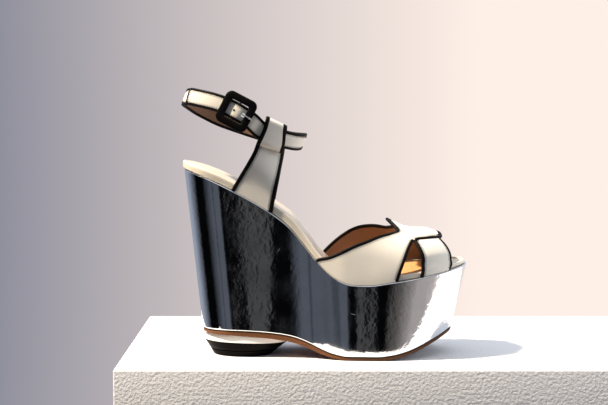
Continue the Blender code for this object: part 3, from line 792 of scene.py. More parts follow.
def quarter_point(step, share, side, drop):
    """Point of a quarter strap's middle face: a step of its folds, and a share from rear to front."""
    if step < 0:
        x = QUARTER_BASE_REAR + (QUARTER_BASE_FRONT - QUARTER_BASE_REAR) * share
        foot = Vector((x, 0.0, seat_height(x) + upright(x, SEAT_GAP)))
        knee = quarter_side(0, share)
        spot = foot.lerp(knee, 1 + step)
    else:
        spot = quarter_side(step, share)
    x, z = spot.x, spot.z
    out = value(QUARTER_FOLDS, "out", step)
    seat = seat_height(x) + upright(x, SEAT_GAP)
    rise = min(1.0, max(0.0, (z - seat - STRAP_FOOT) / (STRAP_RISE - STRAP_FOOT)))
    rise = rise * rise * (3 - 2 * rise)
    edge = side * (half_width(x) - STRAP_INSET) + middle(x)
    ring = side * (ring_side(x, max(z, seat + STRAP_RISE)) + out) + RING_CENTRE.y
    sink = drop.rear + (drop.front - drop.rear) * share
    return Vector((x, edge + (ring - edge) * rise, z - sink * rise))


def quarter_side(step, share):
    """Side view of a quarter strap's point."""
    rear_x, rear_z = value(QUARTER_FOLDS, "rear_x", step), value(QUARTER_FOLDS, "rear_z", step)
    front_x, front_z = value(QUARTER_FOLDS, "front_x", step), value(QUARTER_FOLDS, "front_z", step)
    return Vector((rear_x + (front_x - rear_x) * share, 0.0, rear_z + (front_z - rear_z) * share))


def quarter_normal(step, share, side, drop):
    """Direction square to a quarter strap's face, outwards at its foot."""
    across = quarter_point(step, share + STEP_SHARE, side, drop)
    across -= quarter_point(step, share - STEP_SHARE, side, drop)
    along = quarter_point(step + STEP_FOLD, share, side, drop)
    along -= quarter_point(step - STEP_FOLD, share, side, drop)
    return across.cross(along).normalized() * -side


def ankle_frame(turn):
    """Place, outward and upward direction of the ankle strap at a turn from the bar, in the ring."""
    angle = (BAR_ANGLE - turn) % 360
    ahead = ring_point(angle - STEP_ANGLE) - ring_point(angle + STEP_ANGLE)
    outward = Vector((-ahead.y, ahead.x, 0.0)).normalized()
    if outward.dot(ring_point(angle)) < 0:
        outward.negate()
    rise = value(ANKLE_SAG, "rise", angle)
    climb = value(ANKLE_SAG, "rise", (angle - STEP_ANGLE) % 360)
    climb -= value(ANKLE_SAG, "rise", (angle + STEP_ANGLE) % 360)
    along = Vector((ahead.x, ahead.y, climb)).normalized()
    upward = along.cross(outward).normalized()
    if upward.z < 0:
        upward.negate()
    place = ring_point(angle) + outward * value(ANKLE_LAYERS, "out", turn) + Vector((0, 0, rise))
    return place, outward, upward


def ankle_half_width(turn, end, trim):
    """Half the ankle strap's width, rounded at its tip."""
    before = (end - turn) * RING_LENGTH / 2 * math.radians(1)
    corner = max(0.0, TIP_ROUND - before)
    return ANKLE_WIDTH / 2 - trim - TIP_ROUND + math.sqrt(TIP_ROUND**2 - min(corner, TIP_ROUND) ** 2)


def rounded_loop(length, width, corner):
    """Loop of a rounded rectangle, the same count of points at each corner and side."""
    corners = []
    for quarter, (sign_x, sign_y) in enumerate(((1, 1), (-1, 1), (-1, -1), (1, -1))):
        points = []
        for share in steps(0.0, 1.0, CORNER_STEPS):
            angle = math.pi / 2 * (quarter + share)
            x = sign_x * (length / 2 - corner) + corner * math.cos(angle)
            y = sign_y * (width / 2 - corner) + corner * math.sin(angle)
            points.append(Vector((x, y, 0.0)))
        corners.append(points)
    loop = []
    for points, after in zip(corners, corners[1:] + corners[:1]):
        loop += points
        loop += [points[-1].lerp(after[0], share) for share in steps(0.0, 1.0, SIDE_STEPS)[1:-1]]
    return loop


def buckle_matrix():
    """Buckle's place in the shoe: its length along the strap, its face outwards."""
    place, outward, upward = ankle_frame(0.0)
    along = upward.cross(outward).normalized()
    turn = Matrix((along, upward, outward)).transposed().to_4x4()
    return ring_matrix() @ Matrix.Translation(place + outward * FRAME_LIFT) @ turn


def shoe_zero():
    """Place of the shoe's own zero in the frame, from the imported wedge's corner."""
    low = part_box("wedge")[0]
    lateral = min(point.y for point in outline(lambda x: 0.0))
    return Vector((low.x - HEEL_BACK * MM, low.y - lateral * MM, 0.0))


SHOE_ZERO = shoe_zero()


def in_frame(point):
    """Point of the shoe's millimetres, in the frame's metres."""
    return point * MM + SHOE_ZERO


def frame_x(x):
    """The shoe's x in the frame's metres."""
    return x * MM + SHOE_ZERO.x


# Modelling steps


def select_only(piece):
    """Make a piece the only one that the operators act on."""
    bpy.ops.object.select_all(action="DESELECT")
    piece.select_set(True)
    bpy.context.view_layer.objects.active = piece


def skin(name, rows, looks):
    """Grid whose points are set to rows of points, with its finishes."""
    bpy.ops.object.select_all(action="DESELECT")
    across, along = len(rows[0]) - 1, len(rows) - 1
    bpy.ops.mesh.primitive_grid_add(x_subdivisions=across, y_subdivisions=along, size=2)
    piece = bpy.context.object
    piece.name = name
    piece.data.name = name
    for look in looks:
        piece.data.materials.append(look)
    for vertex in piece.data.vertices:
        column = round((vertex.co.x + 1) / 2 * across)
        row = round((vertex.co.y + 1) / 2 * along)
        vertex.co = in_frame(rows[row][column])
    return piece


def weld(piece, closed=True):
    """Weld a piece's seams and poles, and turn its faces outwards where it is closed."""
    select_only(piece)
    bpy.ops.object.mode_set(mode="EDIT")
    bpy.ops.mesh.select_all(action="SELECT")
    bpy.ops.mesh.remove_doubles(threshold=WELD)
    if closed:
        bpy.ops.mesh.normals_make_consistent(inside=False)
    bpy.ops.object.mode_set(mode="OBJECT")


def smooth(piece, degrees=SHARP_ANGLE):
    """Shade a piece smooth, apart from its sharp edges."""
    select_only(piece)
    bpy.ops.object.shade_smooth_by_angle(angle=math.radians(degrees))


def loft(name, rings, looks):
    """Closed skin through rings of equal count."""
    piece = skin(name, [ring + ring[:1] for ring in rings], looks)
    weld(piece)
    smooth(piece)
    return piece


def apply_modifier(piece, kind, **settings):
    """Add a modifier with these settings, and apply it."""
    select_only(piece)
    modifier = piece.modifiers.new(kind.title(), kind)
    for name, setting in settings.items():
        setattr(modifier, name, setting)
    bpy.ops.object.modifier_apply(modifier=modifier.name)


def flip_faces(piece):
    """Turn all faces of a piece over."""
    select_only(piece)
    bpy.ops.object.mode_set(mode="EDIT")
    bpy.ops.mesh.select_all(action="SELECT")
    bpy.ops.mesh.flip_normals()
    bpy.ops.object.mode_set(mode="OBJECT")


def face_away(piece, inside):
    """Turn an open skin's faces away from a point inside it."""
    centre = in_frame(inside)
    facing = sum(face.normal.dot(face.center - centre) * face.area for face in piece.data.polygons)
    if facing < 0:
        flip_faces(piece)


def give_wall(piece, wall, offset):
    """Give an open skin its wall, with the next finish on its back."""
    apply_modifier(
        piece,
        "SOLIDIFY",
        thickness=wall,
        offset=offset,
        use_even_offset=True,
        material_offset=1,
        material_offset_rim=1,
    )
    smooth(piece, WALL_SHARP_ANGLE)


def join(pieces, name):
    """Join pieces into one."""
    select_only(pieces[0])
    for piece in pieces:
        piece.select_set(True)
    bpy.ops.object.join()
    pieces[0].name = name
    pieces[0].data.name = name
    return pieces[0]


def tube(name, points, radius, look, sides):
    """Round cord along points in the shoe's millimetres, with round ends."""
    count = len(points)
    runs = [(points[min(i + 1, count - 1)] - points[max(i - 1, 0)]).normalized() for i in range(count)]
    side = runs[0].orthogonal().normalized()
    rings = []

    def ring(centre, run, across, size):
        other = run.cross(across)
        angles = [2 * math.pi * i / sides for i in range(sides)]
        return [centre + (across * math.cos(a) + other * math.sin(a)) * size for a in angles]

    def round_end(centre, run, across):
        ends = []
        for degrees in END_DEGREES:
            angle = math.radians(degrees)
            ends.append(ring(centre + run * radius * math.sin(angle), run, across, radius * math.cos(angle)))
        return ends

    for i, (point, run) in enumerate(zip(points, runs)):
        side = (side - run * side.dot(run)).normalized()
        if i == 0:
            for end in round_end(point, run * -1, side):
                rings.append([end[-k % sides] for k in range(sides)])
        rings.append(ring(point, run, side, radius))
    rings += round_end(points[-1], runs[-1], side)[::-1]
    return loft(name, rings, [look])


def binding(name, line, reach, rise, look):
    """Strip folded over an edge: a flat rounded section along points and normals."""
    last = len(line) - 1
    rings = []
    for i, (point, normal) in enumerate(line):
        run = (line[min(i + 1, last)][0] - line[max(i - 1, 0)][0]).normalized()
        across = run.cross(normal).normalized()
        up = across.cross(run)
        ring = []
        for k in range(BINDING_SIDES):
            angle = 2 * math.pi * k / BINDING_SIDES
            aside = across * reach * squared(math.cos(angle), BINDING_POWER)
            ring.append(point + aside + up * rise * squared(math.sin(angle), BINDING_POWER))
        rings.append(ring)
    return loft(name, closed_rings(rings), [look])


def at_pitch(line, pitch):
    """Points and normals of a line, brought to an even pitch."""
    spots, way = [], 0.0
    for (start, up), (end, end_up) in zip(line, line[1:]):
        length = (end - start).length
        while way < length:
            share = way / length
            spots.append((start.lerp(end, share), up.lerp(end_up, share).normalized()))
            way += pitch
        way -= length
    return spots


def whip_stitches(name, line, inside, reach, wall, sizes):
    """Thread that holds a binding: over its inner edge into the leather, and back below to the next."""
    pitch, bite, radius = sizes.stitch_pitch / MM, sizes.stitch_length / MM, sizes.thread / MM
    spots = at_pitch(line, pitch)
    middle_point, middle_normal = spots[len(spots) // 2]
    middle_run = spots[len(spots) // 2 + 1][0] - spots[len(spots) // 2 - 1][0]
    way = 1 if middle_run.cross(middle_normal).dot(inside - middle_point) > 0 else -1
    top = wall / 2
    path = []
    for i in range(1, len(spots) - 1):
        point, normal = spots[i]
        run = (spots[i + 1][0] - spots[i - 1][0]).normalized()
        inward = run.cross(normal).normalized() * way
        for stitch in STITCH_PATH:
            aside = inward * (reach * stitch.reach + bite * stitch.bite) + run * pitch * stitch.pitch
            path.append(point + aside + normal * (top * stitch.walls + radius * stitch.radii))
    return tube(name, path, radius, finish_named("thread"), THREAD_SIDES)


def ride(piece, slot, *nodes):
    """Fix a piece to the shoe and hide the solids that it stands for; the slot is not used."""
    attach(piece, "root")
    if nodes:
        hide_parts(*nodes)


# Finishes


class Signal:
    """Output of a node: arithmetic on it adds Math nodes."""

    def __init__(self, board, socket):
        self.board = board
        self.socket = socket

    def __add__(self, other):
        return self.board.math("ADD", self, other)

    def __mul__(self, other):
        return self.board.math("MULTIPLY", self, other)

    def __sub__(self, other):
        return self.board.math("SUBTRACT", self, other)

    def __rsub__(self, other):
        return self.board.math("SUBTRACT", other, self)


class Board:
    """Node tree of a finish, with one way to add a node."""

    def __init__(self, tree):
        self.tree = tree

    def node(self, kind, settings, sockets, output=0):
        """Add a node, set it up, feed its sockets and return one output."""
        made = self.tree.nodes.new(kind)
        for name, setting in settings.items():
            setattr(made, name, setting)
        self.feed(made, sockets)
        return Signal(self, made.outputs[output])

    def feed(self, made, sockets):
        """Link or set a node's sockets."""
        for name, given in sockets.items():
            if isinstance(given, Signal):
                self.tree.links.new(given.socket, made.inputs[name])
            else:
                made.inputs[name].default_value = given

    def math(self, operation, first, second):
        """Math node of two values."""
        return self.node("ShaderNodeMath", {"operation": operation}, {0: first, 1: second})

    def coordinates(self, kind="Object"):
        """Texture coordinates."""
        return self.node("ShaderNodeTexCoord", {}, {}, kind)

    def axis(self, vector, name):
        """One axis of a vector."""
        return self.node("ShaderNodeSeparateXYZ", {}, {"Vector": vector}, name)

    def place(self, stretch=(1.0, 1.0, 1.0)):
        """Object coordinates, stretched."""
        return self.node("ShaderNodeMapping", {}, {"Vector": self.coordinates(), "Scale": stretch})

    def noise(self, scale, detail=2.0, stretch=(1.0, 1.0, 1.0)):
        """Soft noise between 0 and 1."""
        sockets = {"Vector": self.place(stretch), "Scale": scale, "Detail": detail}
        return self.node("ShaderNodeTexNoise", {}, sockets)

    def cells(self, scale):
        """Distance to the nearest of scattered points, for pores and grain."""
        return self.node("ShaderNodeTexVoronoi", {}, {"Vector": self.place(), "Scale": scale})

    def span(self, signal, low, high, to_low=0.0, to_high=1.0):
        """Value brought from one span to another, held at its ends."""
        sockets = {"Value": signal, 1: low, 2: high, 3: to_low, 4: to_high}
        return self.node("ShaderNodeMapRange", {"clamp": True}, sockets)

    def scuff(self, scuff):
        """Soft mark on the wedge's outer side, at a scuff's place."""
        spot = Vector((scuff.x, middle(scuff.x) - half_width(scuff.x), scuff.z))
        sockets = {
            "Vector": self.coordinates(),
            "Location": in_frame(spot),
            "Rotation": (0.0, math.radians(scuff.lean), 0.0),
            "Scale": (scuff.length * MM, SCUFF_REACH, scuff.width * MM),
        }
        local = self.node("ShaderNodeMapping", {"vector_type": "TEXTURE"}, sockets)
        away = self.node("ShaderNodeVectorMath", {"operation": "LENGTH"}, {0: local}, "Value")
        return self.span(away, SCUFF_CORE, 1.0, 1.0, 0.0)

    def mix(self, factor, first, second):
        """Colour between two colours."""
        return self.node("ShaderNodeMix", {"data_type": "RGBA"}, {0: factor, 6: first, 7: second}, 2)

    def bump(self, height, distance, normal=None):
        """Normal pushed by a height."""
        sockets = {"Height": height, "Distance": distance, "Strength": 1.0}
        if normal is not None:
            sockets["Normal"] = normal
        return self.node("ShaderNodeBump", {}, sockets)


def shade(colour, share):
    """Colour made darker or lighter, for a socket."""
    return (*[min(1.0, channel * share) for channel in colour], 1.0)


def film_finish(board, scene):
    """Mirror-silver film wrapped over a core: softly wavy, mottled and a little scuffed."""
    colour = scene.sandal_colours.film
    streaks = board.noise(30.0, 1.0, (1.0, 1.0, 0.2))
    ripples = board.noise(62.0, 3.0, (1.0, 1.0, 0.45))
    mottle = board.noise(240.0, 3.0)
    haze = board.noise(60.0, 4.0)
    scuffs = 0.0
    for scuff in SCUFFS:
        scuffs = board.scuff(scuff) + scuffs
    x = board.axis(board.coordinates(), "X")
    bend = FLAT_MOTTLE
    for start, end in FILM_BENDS:
        bend = board.span(x, frame_x(start), frame_x(end), 0.0, BENT_MOTTLE) + bend
    waves = board.bump(ripples, 0.00010, board.bump(streaks, 0.00025))
    return {
        "Base Color": board.mix(board.span(haze, 0.3, 0.7), shade(colour, 0.9), shade(colour, 1.0)),
        "Metallic": 1.0,
        "Roughness": board.span(haze, 0.35, 0.7, 0.035, 0.11) + scuffs * 0.4,
        "Normal": board.bump(mottle * bend * bend, 0.00022, waves),
    }


def leather_finish(board, scene, kind):
    """Leather of a kind, with its grain, pores and uneven tone."""
    colour = getattr(scene.sandal_colours, kind.colour)
    cloud = board.noise(38.0, 3.0)
    creases = board.noise(140.0, 4.0)
    pores = board.cells(1100.0)
    patchy = board.span(cloud * 0.7 + creases * 0.3, 0.32, 0.68)
    return {
        "Base Color": board.mix(patchy, shade(colour, 1 - kind.tone), shade(colour, 1 + kind.tone)),
        "Roughness": board.span(creases, 0.3, 0.7, kind.roughness - 0.06, kind.roughness + 0.08),
        "Normal": board.bump(creases * 0.5 + pores * 0.5, kind.grain),
        "Coat Weight": kind.coat,
        "Coat Roughness": 0.25,
        "Specular IOR Level": kind.shine,
    }


def sock_finish(board, scene):
    """Sock leather: tan under the toes, cream from the arch to the heel, with the seam, and a pinhole whose
    dark is painted shade in the hole.
    """
    colours = scene.sandal_colours
    coordinates = board.coordinates()
    x = board.axis(coordinates, "X")
    seam = frame_x(SOCK_SEAM)
    cloud = board.noise(45.0, 3.0)
    creases = board.noise(150.0, 4.0)
    tan = board.mix(cloud, shade(colours.sock, 0.88), shade(colours.sock, 1.12))
    cream = board.mix(cloud, shade(colours.sock_heel, 0.95), shade(colours.sock_heel, 1.05))
    turn = SEAM_TURN * MM
    groove = board.span(board.math("ABSOLUTE", x - seam, 0.0), turn, SEAM_GROOVE * MM)
    # Painted shade: the pinhole is only a dark spot of colour, with no hole in the mesh
    hole = in_frame(Vector((PINHOLE.x, PINHOLE.y, bed_top(PINHOLE.x))))
    away = board.node("ShaderNodeVectorMath", {"operation": "DISTANCE"}, {0: coordinates, 1: hole}, "Value")
    pinhole = board.span(away, PINHOLE_INNER * MM, PINHOLE_OUTER * MM)
    leather = board.mix(board.span(x, seam - turn, seam + turn), cream, tan)
    return {
        "Base Color": board.mix(pinhole * groove, shade(colours.lining, 0.3), leather),
        "Roughness": board.span(creases, 0.3, 0.7, 0.48, 0.62),
        "Normal": board.bump(creases * 0.3 + groove, 0.00025),
        "Specular IOR Level": 0.4,
    }


def sole_edge_finish(board, scene):
    """Cut edge of sole leather: fine layers along it, a burnished tone, and painted shade that darkens its
    front.
    """
    colour = scene.sandal_colours.sole
    start, end = SOLE_PAINTED_SHADE
    # Painted shade: the edge's colour is darkened towards the ball, where the edge stands in shadow
    painted_front_shade = board.span(board.axis(board.coordinates(), "X"), frame_x(start), frame_x(end))
    layers = board.noise(420.0, 3.0, (0.08, 0.08, 1.0))
    cloud = board.noise(60.0, 2.0)
    dark = board.mix(painted_front_shade, shade(colour, 0.62), shade(colour, 0.24))
    light = board.mix(painted_front_shade, shade(colour, 1.3), shade(colour, 0.52))
    return {
        "Base Color": board.mix(layers * 0.6 + cloud * 0.4, dark, light),
        "Roughness": board.span(cloud, 0.3, 0.7, 0.4, 0.58),
        "Normal": board.bump(layers, 0.00012),
        "Specular IOR Level": 0.15,
    }


def rubber_finish(board, scene, roughness):
    """Moulded black rubber with a fine speckle."""
    colour = scene.sandal_colours.rubber
    speckle = board.noise(1400.0, 1.0)
    dust = board.noise(90.0, 4.0)
    return {
        "Base Color": board.mix(board.span(dust, 0.45, 0.8), shade(colour, 0.85), shade(colour, 1.7)),
        "Roughness": board.span(dust, 0.3, 0.7, roughness - 0.08, roughness + 0.1),
        "Normal": board.bump(speckle, 0.00005),
        "Specular IOR Level": 0.05,
    }


def steel_finish(board, scene):
    """Polished steel with fine rubbed lines."""
    lines = board.noise(1500.0, 1.0, (0.1, 1.0, 1.0))
    return {
        "Base Color": shade(scene.sandal_colours.steel, 1.0),
        "Metallic": 1.0,
        "Roughness": board.span(lines, 0.3, 0.7, 0.14, 0.26),
        "Normal": board.bump(lines, 0.00002),
    }


def plaster_finish(board, scene):
    """Matt painted board for the stage."""
    colour = scene.sandal_studio.board
    return {
        "Base Color": board.mix(board.noise(6.0, 3.0), shade(colour, 0.97), shade(colour, 1.02)),
        "Roughness": 0.85,
        "Normal": board.bump(board.noise(420.0, 4.0), 0.0007),
    }


FINISHES = {
    "mirror_film": film_finish,
    "sock_leather": sock_finish,
    "sole_edge": sole_edge_finish,
    "polished_steel": steel_finish,
    "stage_board": plaster_finish,
}


def finish_sockets(board, scene, name):
    """What a finish feeds to the sockets of its shader."""
    if name in LEATHERS:
        return leather_finish(board, scene, LEATHERS[name])
    if name in RUBBERS:
        return rubber_finish(board, scene, RUBBERS[name])
    return FINISHES[name](board, scene)


def finish_named(name):
    """A finish, made on its first use."""
    found = bpy.data.materials.get(name)
    if found:
        return found
    look = bpy.data.materials.new(name)
    look.use_nodes = True
    board = Board(look.node_tree)
    shader = look.node_tree.nodes["Principled BSDF"]
    board.feed(shader, finish_sockets(board, bpy.context.scene, name))
    return look


# Settings


def length_setting(name, words, default):
    """Length property."""
    return bpy.props.FloatProperty(name=name, description=words, default=default, unit="LENGTH")


def power_setting(name, words, default):
    """Power property of a lamp."""
    return bpy.props.FloatProperty(name=name, description=words, default=default, unit="POWER")


def place_setting(name, words, default):
    """Place property."""
    return bpy.props.FloatVectorProperty(
        name=name, description=words, default=default, size=3, subtype="TRANSLATION"
    )


def colour_setting(name, words, default):
    """Colour property, which for a light may be brighter than white."""
    most = max(1.0, *default)
    return bpy.props.FloatVectorProperty(
        name=name, description=words, default=default, size=3, min=0.0, max=most, subtype="COLOR"
    )


class SandalSizes(bpy.types.PropertyGroup):
    """Walls, bindings and stitches."""

    upper_wall: length_setting("Upper wall", "Leather and lining of vamp and toe band", 0.0018)
    strap_wall: length_setting("Strap wall", "Leather of the quarter straps", 0.0016)
    ankle_wall: length_setting("Ankle wall", "Leather and lining of the ankle strap", 0.0019)
    upper_binding: length_setting("Upper binding", "Half the width of the upper's edge strip", 0.0015)
    strap_binding: length_setting("Strap binding", "Half the width of the quarter straps' edge strip", 0.0018)
    ankle_binding: length_setting("Ankle binding", "Half the width of the ankle strap's edge strip", 0.0013)
    binding_rise: length_setting("Binding rise", "How far a binding stands over the leather", 0.0003)
    stitch_pitch: length_setting("Stitch pitch", "Distance from stitch to stitch", 0.0015)
    stitch_length: length_setting("Stitch length", "How far a stitch reaches over the leather", 0.0011)
    thread: length_setting("Thread", "Radius of the thread", 0.00022)


class SandalColours(bpy.types.PropertyGroup):
    """Colours of the finishes."""

    cream: colour_setting("Cream", "Smooth leather of upper and straps", (0.80, 0.755, 0.67))
    wrap: colour_setting("Wrap", "Leather round the footbed", (0.76, 0.69, 0.57))
    # Lighter than the wrap: cream leather plus painted bounce light from the board on the heel base
    heel_base: colour_setting("Heel base", "Leather round the layer under the heel", (0.95, 0.91, 0.84))
    lining: colour_setting("Lining", "Leather inside the upper and straps", (0.22, 0.125, 0.078))
    sock: colour_setting("Sock", "Leather under the ball and toes", (0.66, 0.33, 0.12))
    sock_heel: colour_setting("Heel sock", "Leather under the heel and arch", (0.60, 0.53, 0.45))
    binding: colour_setting("Binding", "Leather of the bindings and the buckle cover", (0.004, 0.003, 0.003))
    thread: colour_setting("Thread", "Thread of the edge stitches", (0.012, 0.009, 0.008))
    sole: colour_setting("Sole", "Edge of the outsole", (0.19, 0.075, 0.028))
    rubber: colour_setting("Rubber", "Layers under the heel", (0.0025, 0.002, 0.002))
    film: colour_setting("Film", "Mirror film round the wedge", (0.88, 0.90, 0.93))
    steel: colour_setting("Steel", "Prong of the buckle", (0.75, 0.75, 0.77))


class SandalStudio(bpy.types.PropertyGroup):
    """Camera, stage and light."""

    camera_place: place_setting("Camera", "Place of the camera", (-0.0171, -1.099, 0.215))
    camera_pitch: bpy.props.FloatProperty(
        name="Pitch", description="How far the camera looks down", default=math.radians(4.75), subtype="ANGLE"
    )
    lens: bpy.props.FloatProperty(name="Lens", description="Focal length", default=79.447, unit="CAMERA")
    key_place: place_setting("Key place", "Place of the warm light", (-1.55, -0.37, 2.44))
    key_power: power_setting("Key power", "Warm light from over the heel", 198.0)
    key_colour: colour_setting("Key colour", "Colour of the warm light", (1.0, 0.86, 0.68))
    fill_place: place_setting("Fill place", "Place of the soft light", (0.9, -0.09, 0.35))
    fill_power: power_setting("Fill power", "Soft light from the toe side, kept out of the film", 4.0)
    fill_colour: colour_setting("Fill colour", "Colour of the soft light", (0.88, 0.94, 1.0))
    sky: colour_setting("Sky", "Cool soft light from above", (1.0, 1.12, 1.4))
    front: colour_setting("Front", "Dim light from the near side", (0.06, 0.09, 0.15))
    room: colour_setting("Room", "Dark of the room that the film mirrors", (0.0016, 0.0017, 0.002))
    board: colour_setting("Board", "Pale board under the shoe", (0.80, 0.80, 0.82))
    backdrop_heel: colour_setting("Backdrop, heel side", "Backdrop behind the heel", (0.25, 0.255, 0.32))
    backdrop_toe: colour_setting("Backdrop, toe side", "Backdrop behind the toe", (1.0, 0.87, 0.8))


# Pieces


class SANDAL_OT_wedge(bpy.types.Operator):
    """Wrap the wedge in its silver film"""

    bl_idname = "sandal.wedge"
    bl_label = "Wedge"

    def execute(self, context):
        rings = []
        for inset, down in edge_round(WEDGE_EDGE):
            rings.append(at_height(outline(lambda x: inset), lambda x: seat_height(x) - down))
        upper = at_height(outline(lambda x: 0.0), lambda x: seat_height(x) - WEDGE_EDGE)
        lower = at_height(wedge_bottom(0.0), lambda x: under_height(x) + WEDGE_EDGE)
        shares = [0.0, *WEDGE_SUPPORTS, *steps(0.0, 1.0, WEDGE_ROWS)[1:-1]]
        shares += [1 - share for share in reversed(WEDGE_SUPPORTS)] + [1.0]
        rings += [between(upper, lower, share) for share in shares]
        for inset, up in reversed(edge_round(WEDGE_EDGE)):
            rings.append(at_height(wedge_bottom(inset), lambda x: under_height(x) + up))
        wedge = loft("wedge_film", closed_rings(rings), [finish_named("mirror_film")])
        ride(wedge, "silver_film", "wedge")
        return {"FINISHED"}


class SANDAL_OT_sole(bpy.types.Operator):
    """Make the outsole and the layers under the heel"""

    bl_idname = "sandal.sole"
    bl_label = "Outsole and heel layers"

    def execute(self, context):
        part = OUTSOLE_EDGE * EDGE_PART
        rings = [
            sole_top_ring(SOLE_TOP_EDGE, 0.0),
            sole_top_ring(0.0, SOLE_TOP_EDGE),
            sole_top_ring(0.0, SOLE_JOINT),
            sole_low_ring(0.0, OUTSOLE_EDGE),
            sole_low_ring(part, part),
            sole_low_ring(OUTSOLE_EDGE, 0.0),
        ]
        looks = [finish_named("sole_edge"), finish_named("sole_joint")]
        outsole = loft("outsole_layer", closed_rings(rings), looks)
        for face in outsole.data.polygons:
            place = (face.center - SHOE_ZERO) / MM
            if place.z > under_height(place.x) - GAP - SOLE_JOINT:
                face.material_index = 1
        ride(outsole, "outsole_leather", "outsole")
        base = self.layer(HEEL_BASE_TOP, lambda x: outsole_bottom(x) - GAP, HEEL_BASE_BOTTOM, heel_plane)
        piece = loft("heel_base_cover", base, [finish_named("heel_leather")])
        ride(piece, "heel_base_leather", "heel_base")
        lift = self.layer(
            HEEL_LIFT_TOP,
            lambda x: heel_plane(x) - GAP,
            HEEL_LIFT_BOTTOM,
            lambda x: TOP_PIECE_HEIGHT + GAP,
        )
        piece = loft("heel_lift_rubber", lift, [finish_named("lift_rubber")])
        ride(piece, "heel_rubber", "heel_lift")
        tread = self.layer(TOP_PIECE_TOP, lambda x: TOP_PIECE_HEIGHT, TOP_PIECE_BOTTOM, lambda x: 0.0)
        piece = loft("heel_top_piece_rubber", tread, [finish_named("tread_rubber")])
        ride(piece, "top_piece_rubber", "heel_top_piece")
        return {"FINISHED"}

    def layer(self, top, top_height, bottom, bottom_height):
        """Rings of a heel layer with small edges."""
        high, low = oval(top, top_height), oval(bottom, bottom_height)
        rings = [oval(smaller(top, HEEL_EDGE), top_height)]
        rings += [between(high, low, share) for share in LAYER_SHARES]
        rings.append(oval(smaller(bottom, HEEL_EDGE), bottom_height))
        return closed_rings(rings)


class SANDAL_OT_footbed(bpy.types.Operator):
    """Make the wrapped footbed and its sock"""

    bl_idname = "sandal.footbed"
    bl_label = "Footbed and sock"

    def execute(self, context):
        rings = [bed_ring(rim.inset, rim.rise) for rim in RIM_SECTION]
        side = outline(bed_inset)
        tuck = outline(lambda x: bed_inset(x) + BED_TUCK)
        rings.append(at_height(side, lambda x: seat_height(x) + upright(x, GAP + BED_TUCK)))
        rings.append(at_height(tuck, lambda x: seat_height(x) + upright(x, GAP)))
        bed = loft("footbed_wrap", closed_rings(rings), [finish_named("wrap_leather")])
        ride(bed, "footbed_leather", "footbed")
        top, part = GAP + SOCK_THICKNESS, SOCK_EDGE * EDGE_PART
        rings = [
            sock_ring(SOCK_EDGE, top),
            sock_ring(part, top - part),
            sock_ring(0.0, top - SOCK_EDGE),
            sock_ring(0.0, GAP),
        ]
        sock = loft("insole_sock", closed_rings(rings), [finish_named("sock_leather")])
        ride(sock, "insole_leather", "insole")
        return {"FINISHED"}


class SANDAL_OT_upper(bpy.types.Operator):
    """Make the vamp with its front tab, and the toe band"""

    bl_idname = "sandal.upper"
    bl_label = "Upper"

    def execute(self, context):
        sizes = context.scene.sandal_sizes
        trim = sizes.upper_binding / MM
        looks = [finish_named("cream_leather"), finish_named("lining_leather")]
        girths = steps(-1.0, 1.0, 2 * GIRTH_STEPS)
        rows = []
        for girth in girths:
            rear = trimmed_edge(VAMP_EDGES, "rear", girth, 0.0, trim)
            if abs(girth) <= NOTCH:
                front = value(VAMP_EDGES, "front", girth)
            else:
                front = trimmed_edge(VAMP_EDGES, "front", girth, 0.0, trim)
            rows.append([upper_point(x, girth, 0.0) for x in steps(rear, front, VAMP_COLUMNS)])
        body = skin("vamp", rows, looks)
        rows = []
        for i in range(-TAB_STEPS, TAB_STEPS + 1):
            share = i / TAB_STEPS
            root = value(VAMP_EDGES, "front", i / GIRTH_STEPS)
            front = tab_front(share, trim)
            row = []
            for t in steps(0.0, 1.0, TAB_COLUMNS):
                row.append(upper_point(root + (front - root) * t, tab_girth(share, t, trim), 0.0))
            rows.append(row)
        tab = skin("vamp_tab", rows, looks)
        vamp = join([body, tab], "vamp")
        weld(vamp, closed=False)
        rows = []
        for girth in girths:
            rear = trimmed_edge(BAND_EDGES, "rear", girth, BAND_STEP, trim)
            front = trimmed_edge(BAND_EDGES, "front", girth, BAND_STEP, trim)
            rows.append([upper_point(x, girth, BAND_STEP) for x in steps(rear, front, BAND_COLUMNS)])
        band = skin("toe_band", rows, looks)
        for piece in (vamp, band):
            face_away(piece, UPPER_INSIDE)
            give_wall(piece, sizes.upper_wall, WALL_INWARDS)
            ride(piece, "upper_leather", "upper")
        return {"FINISHED"}


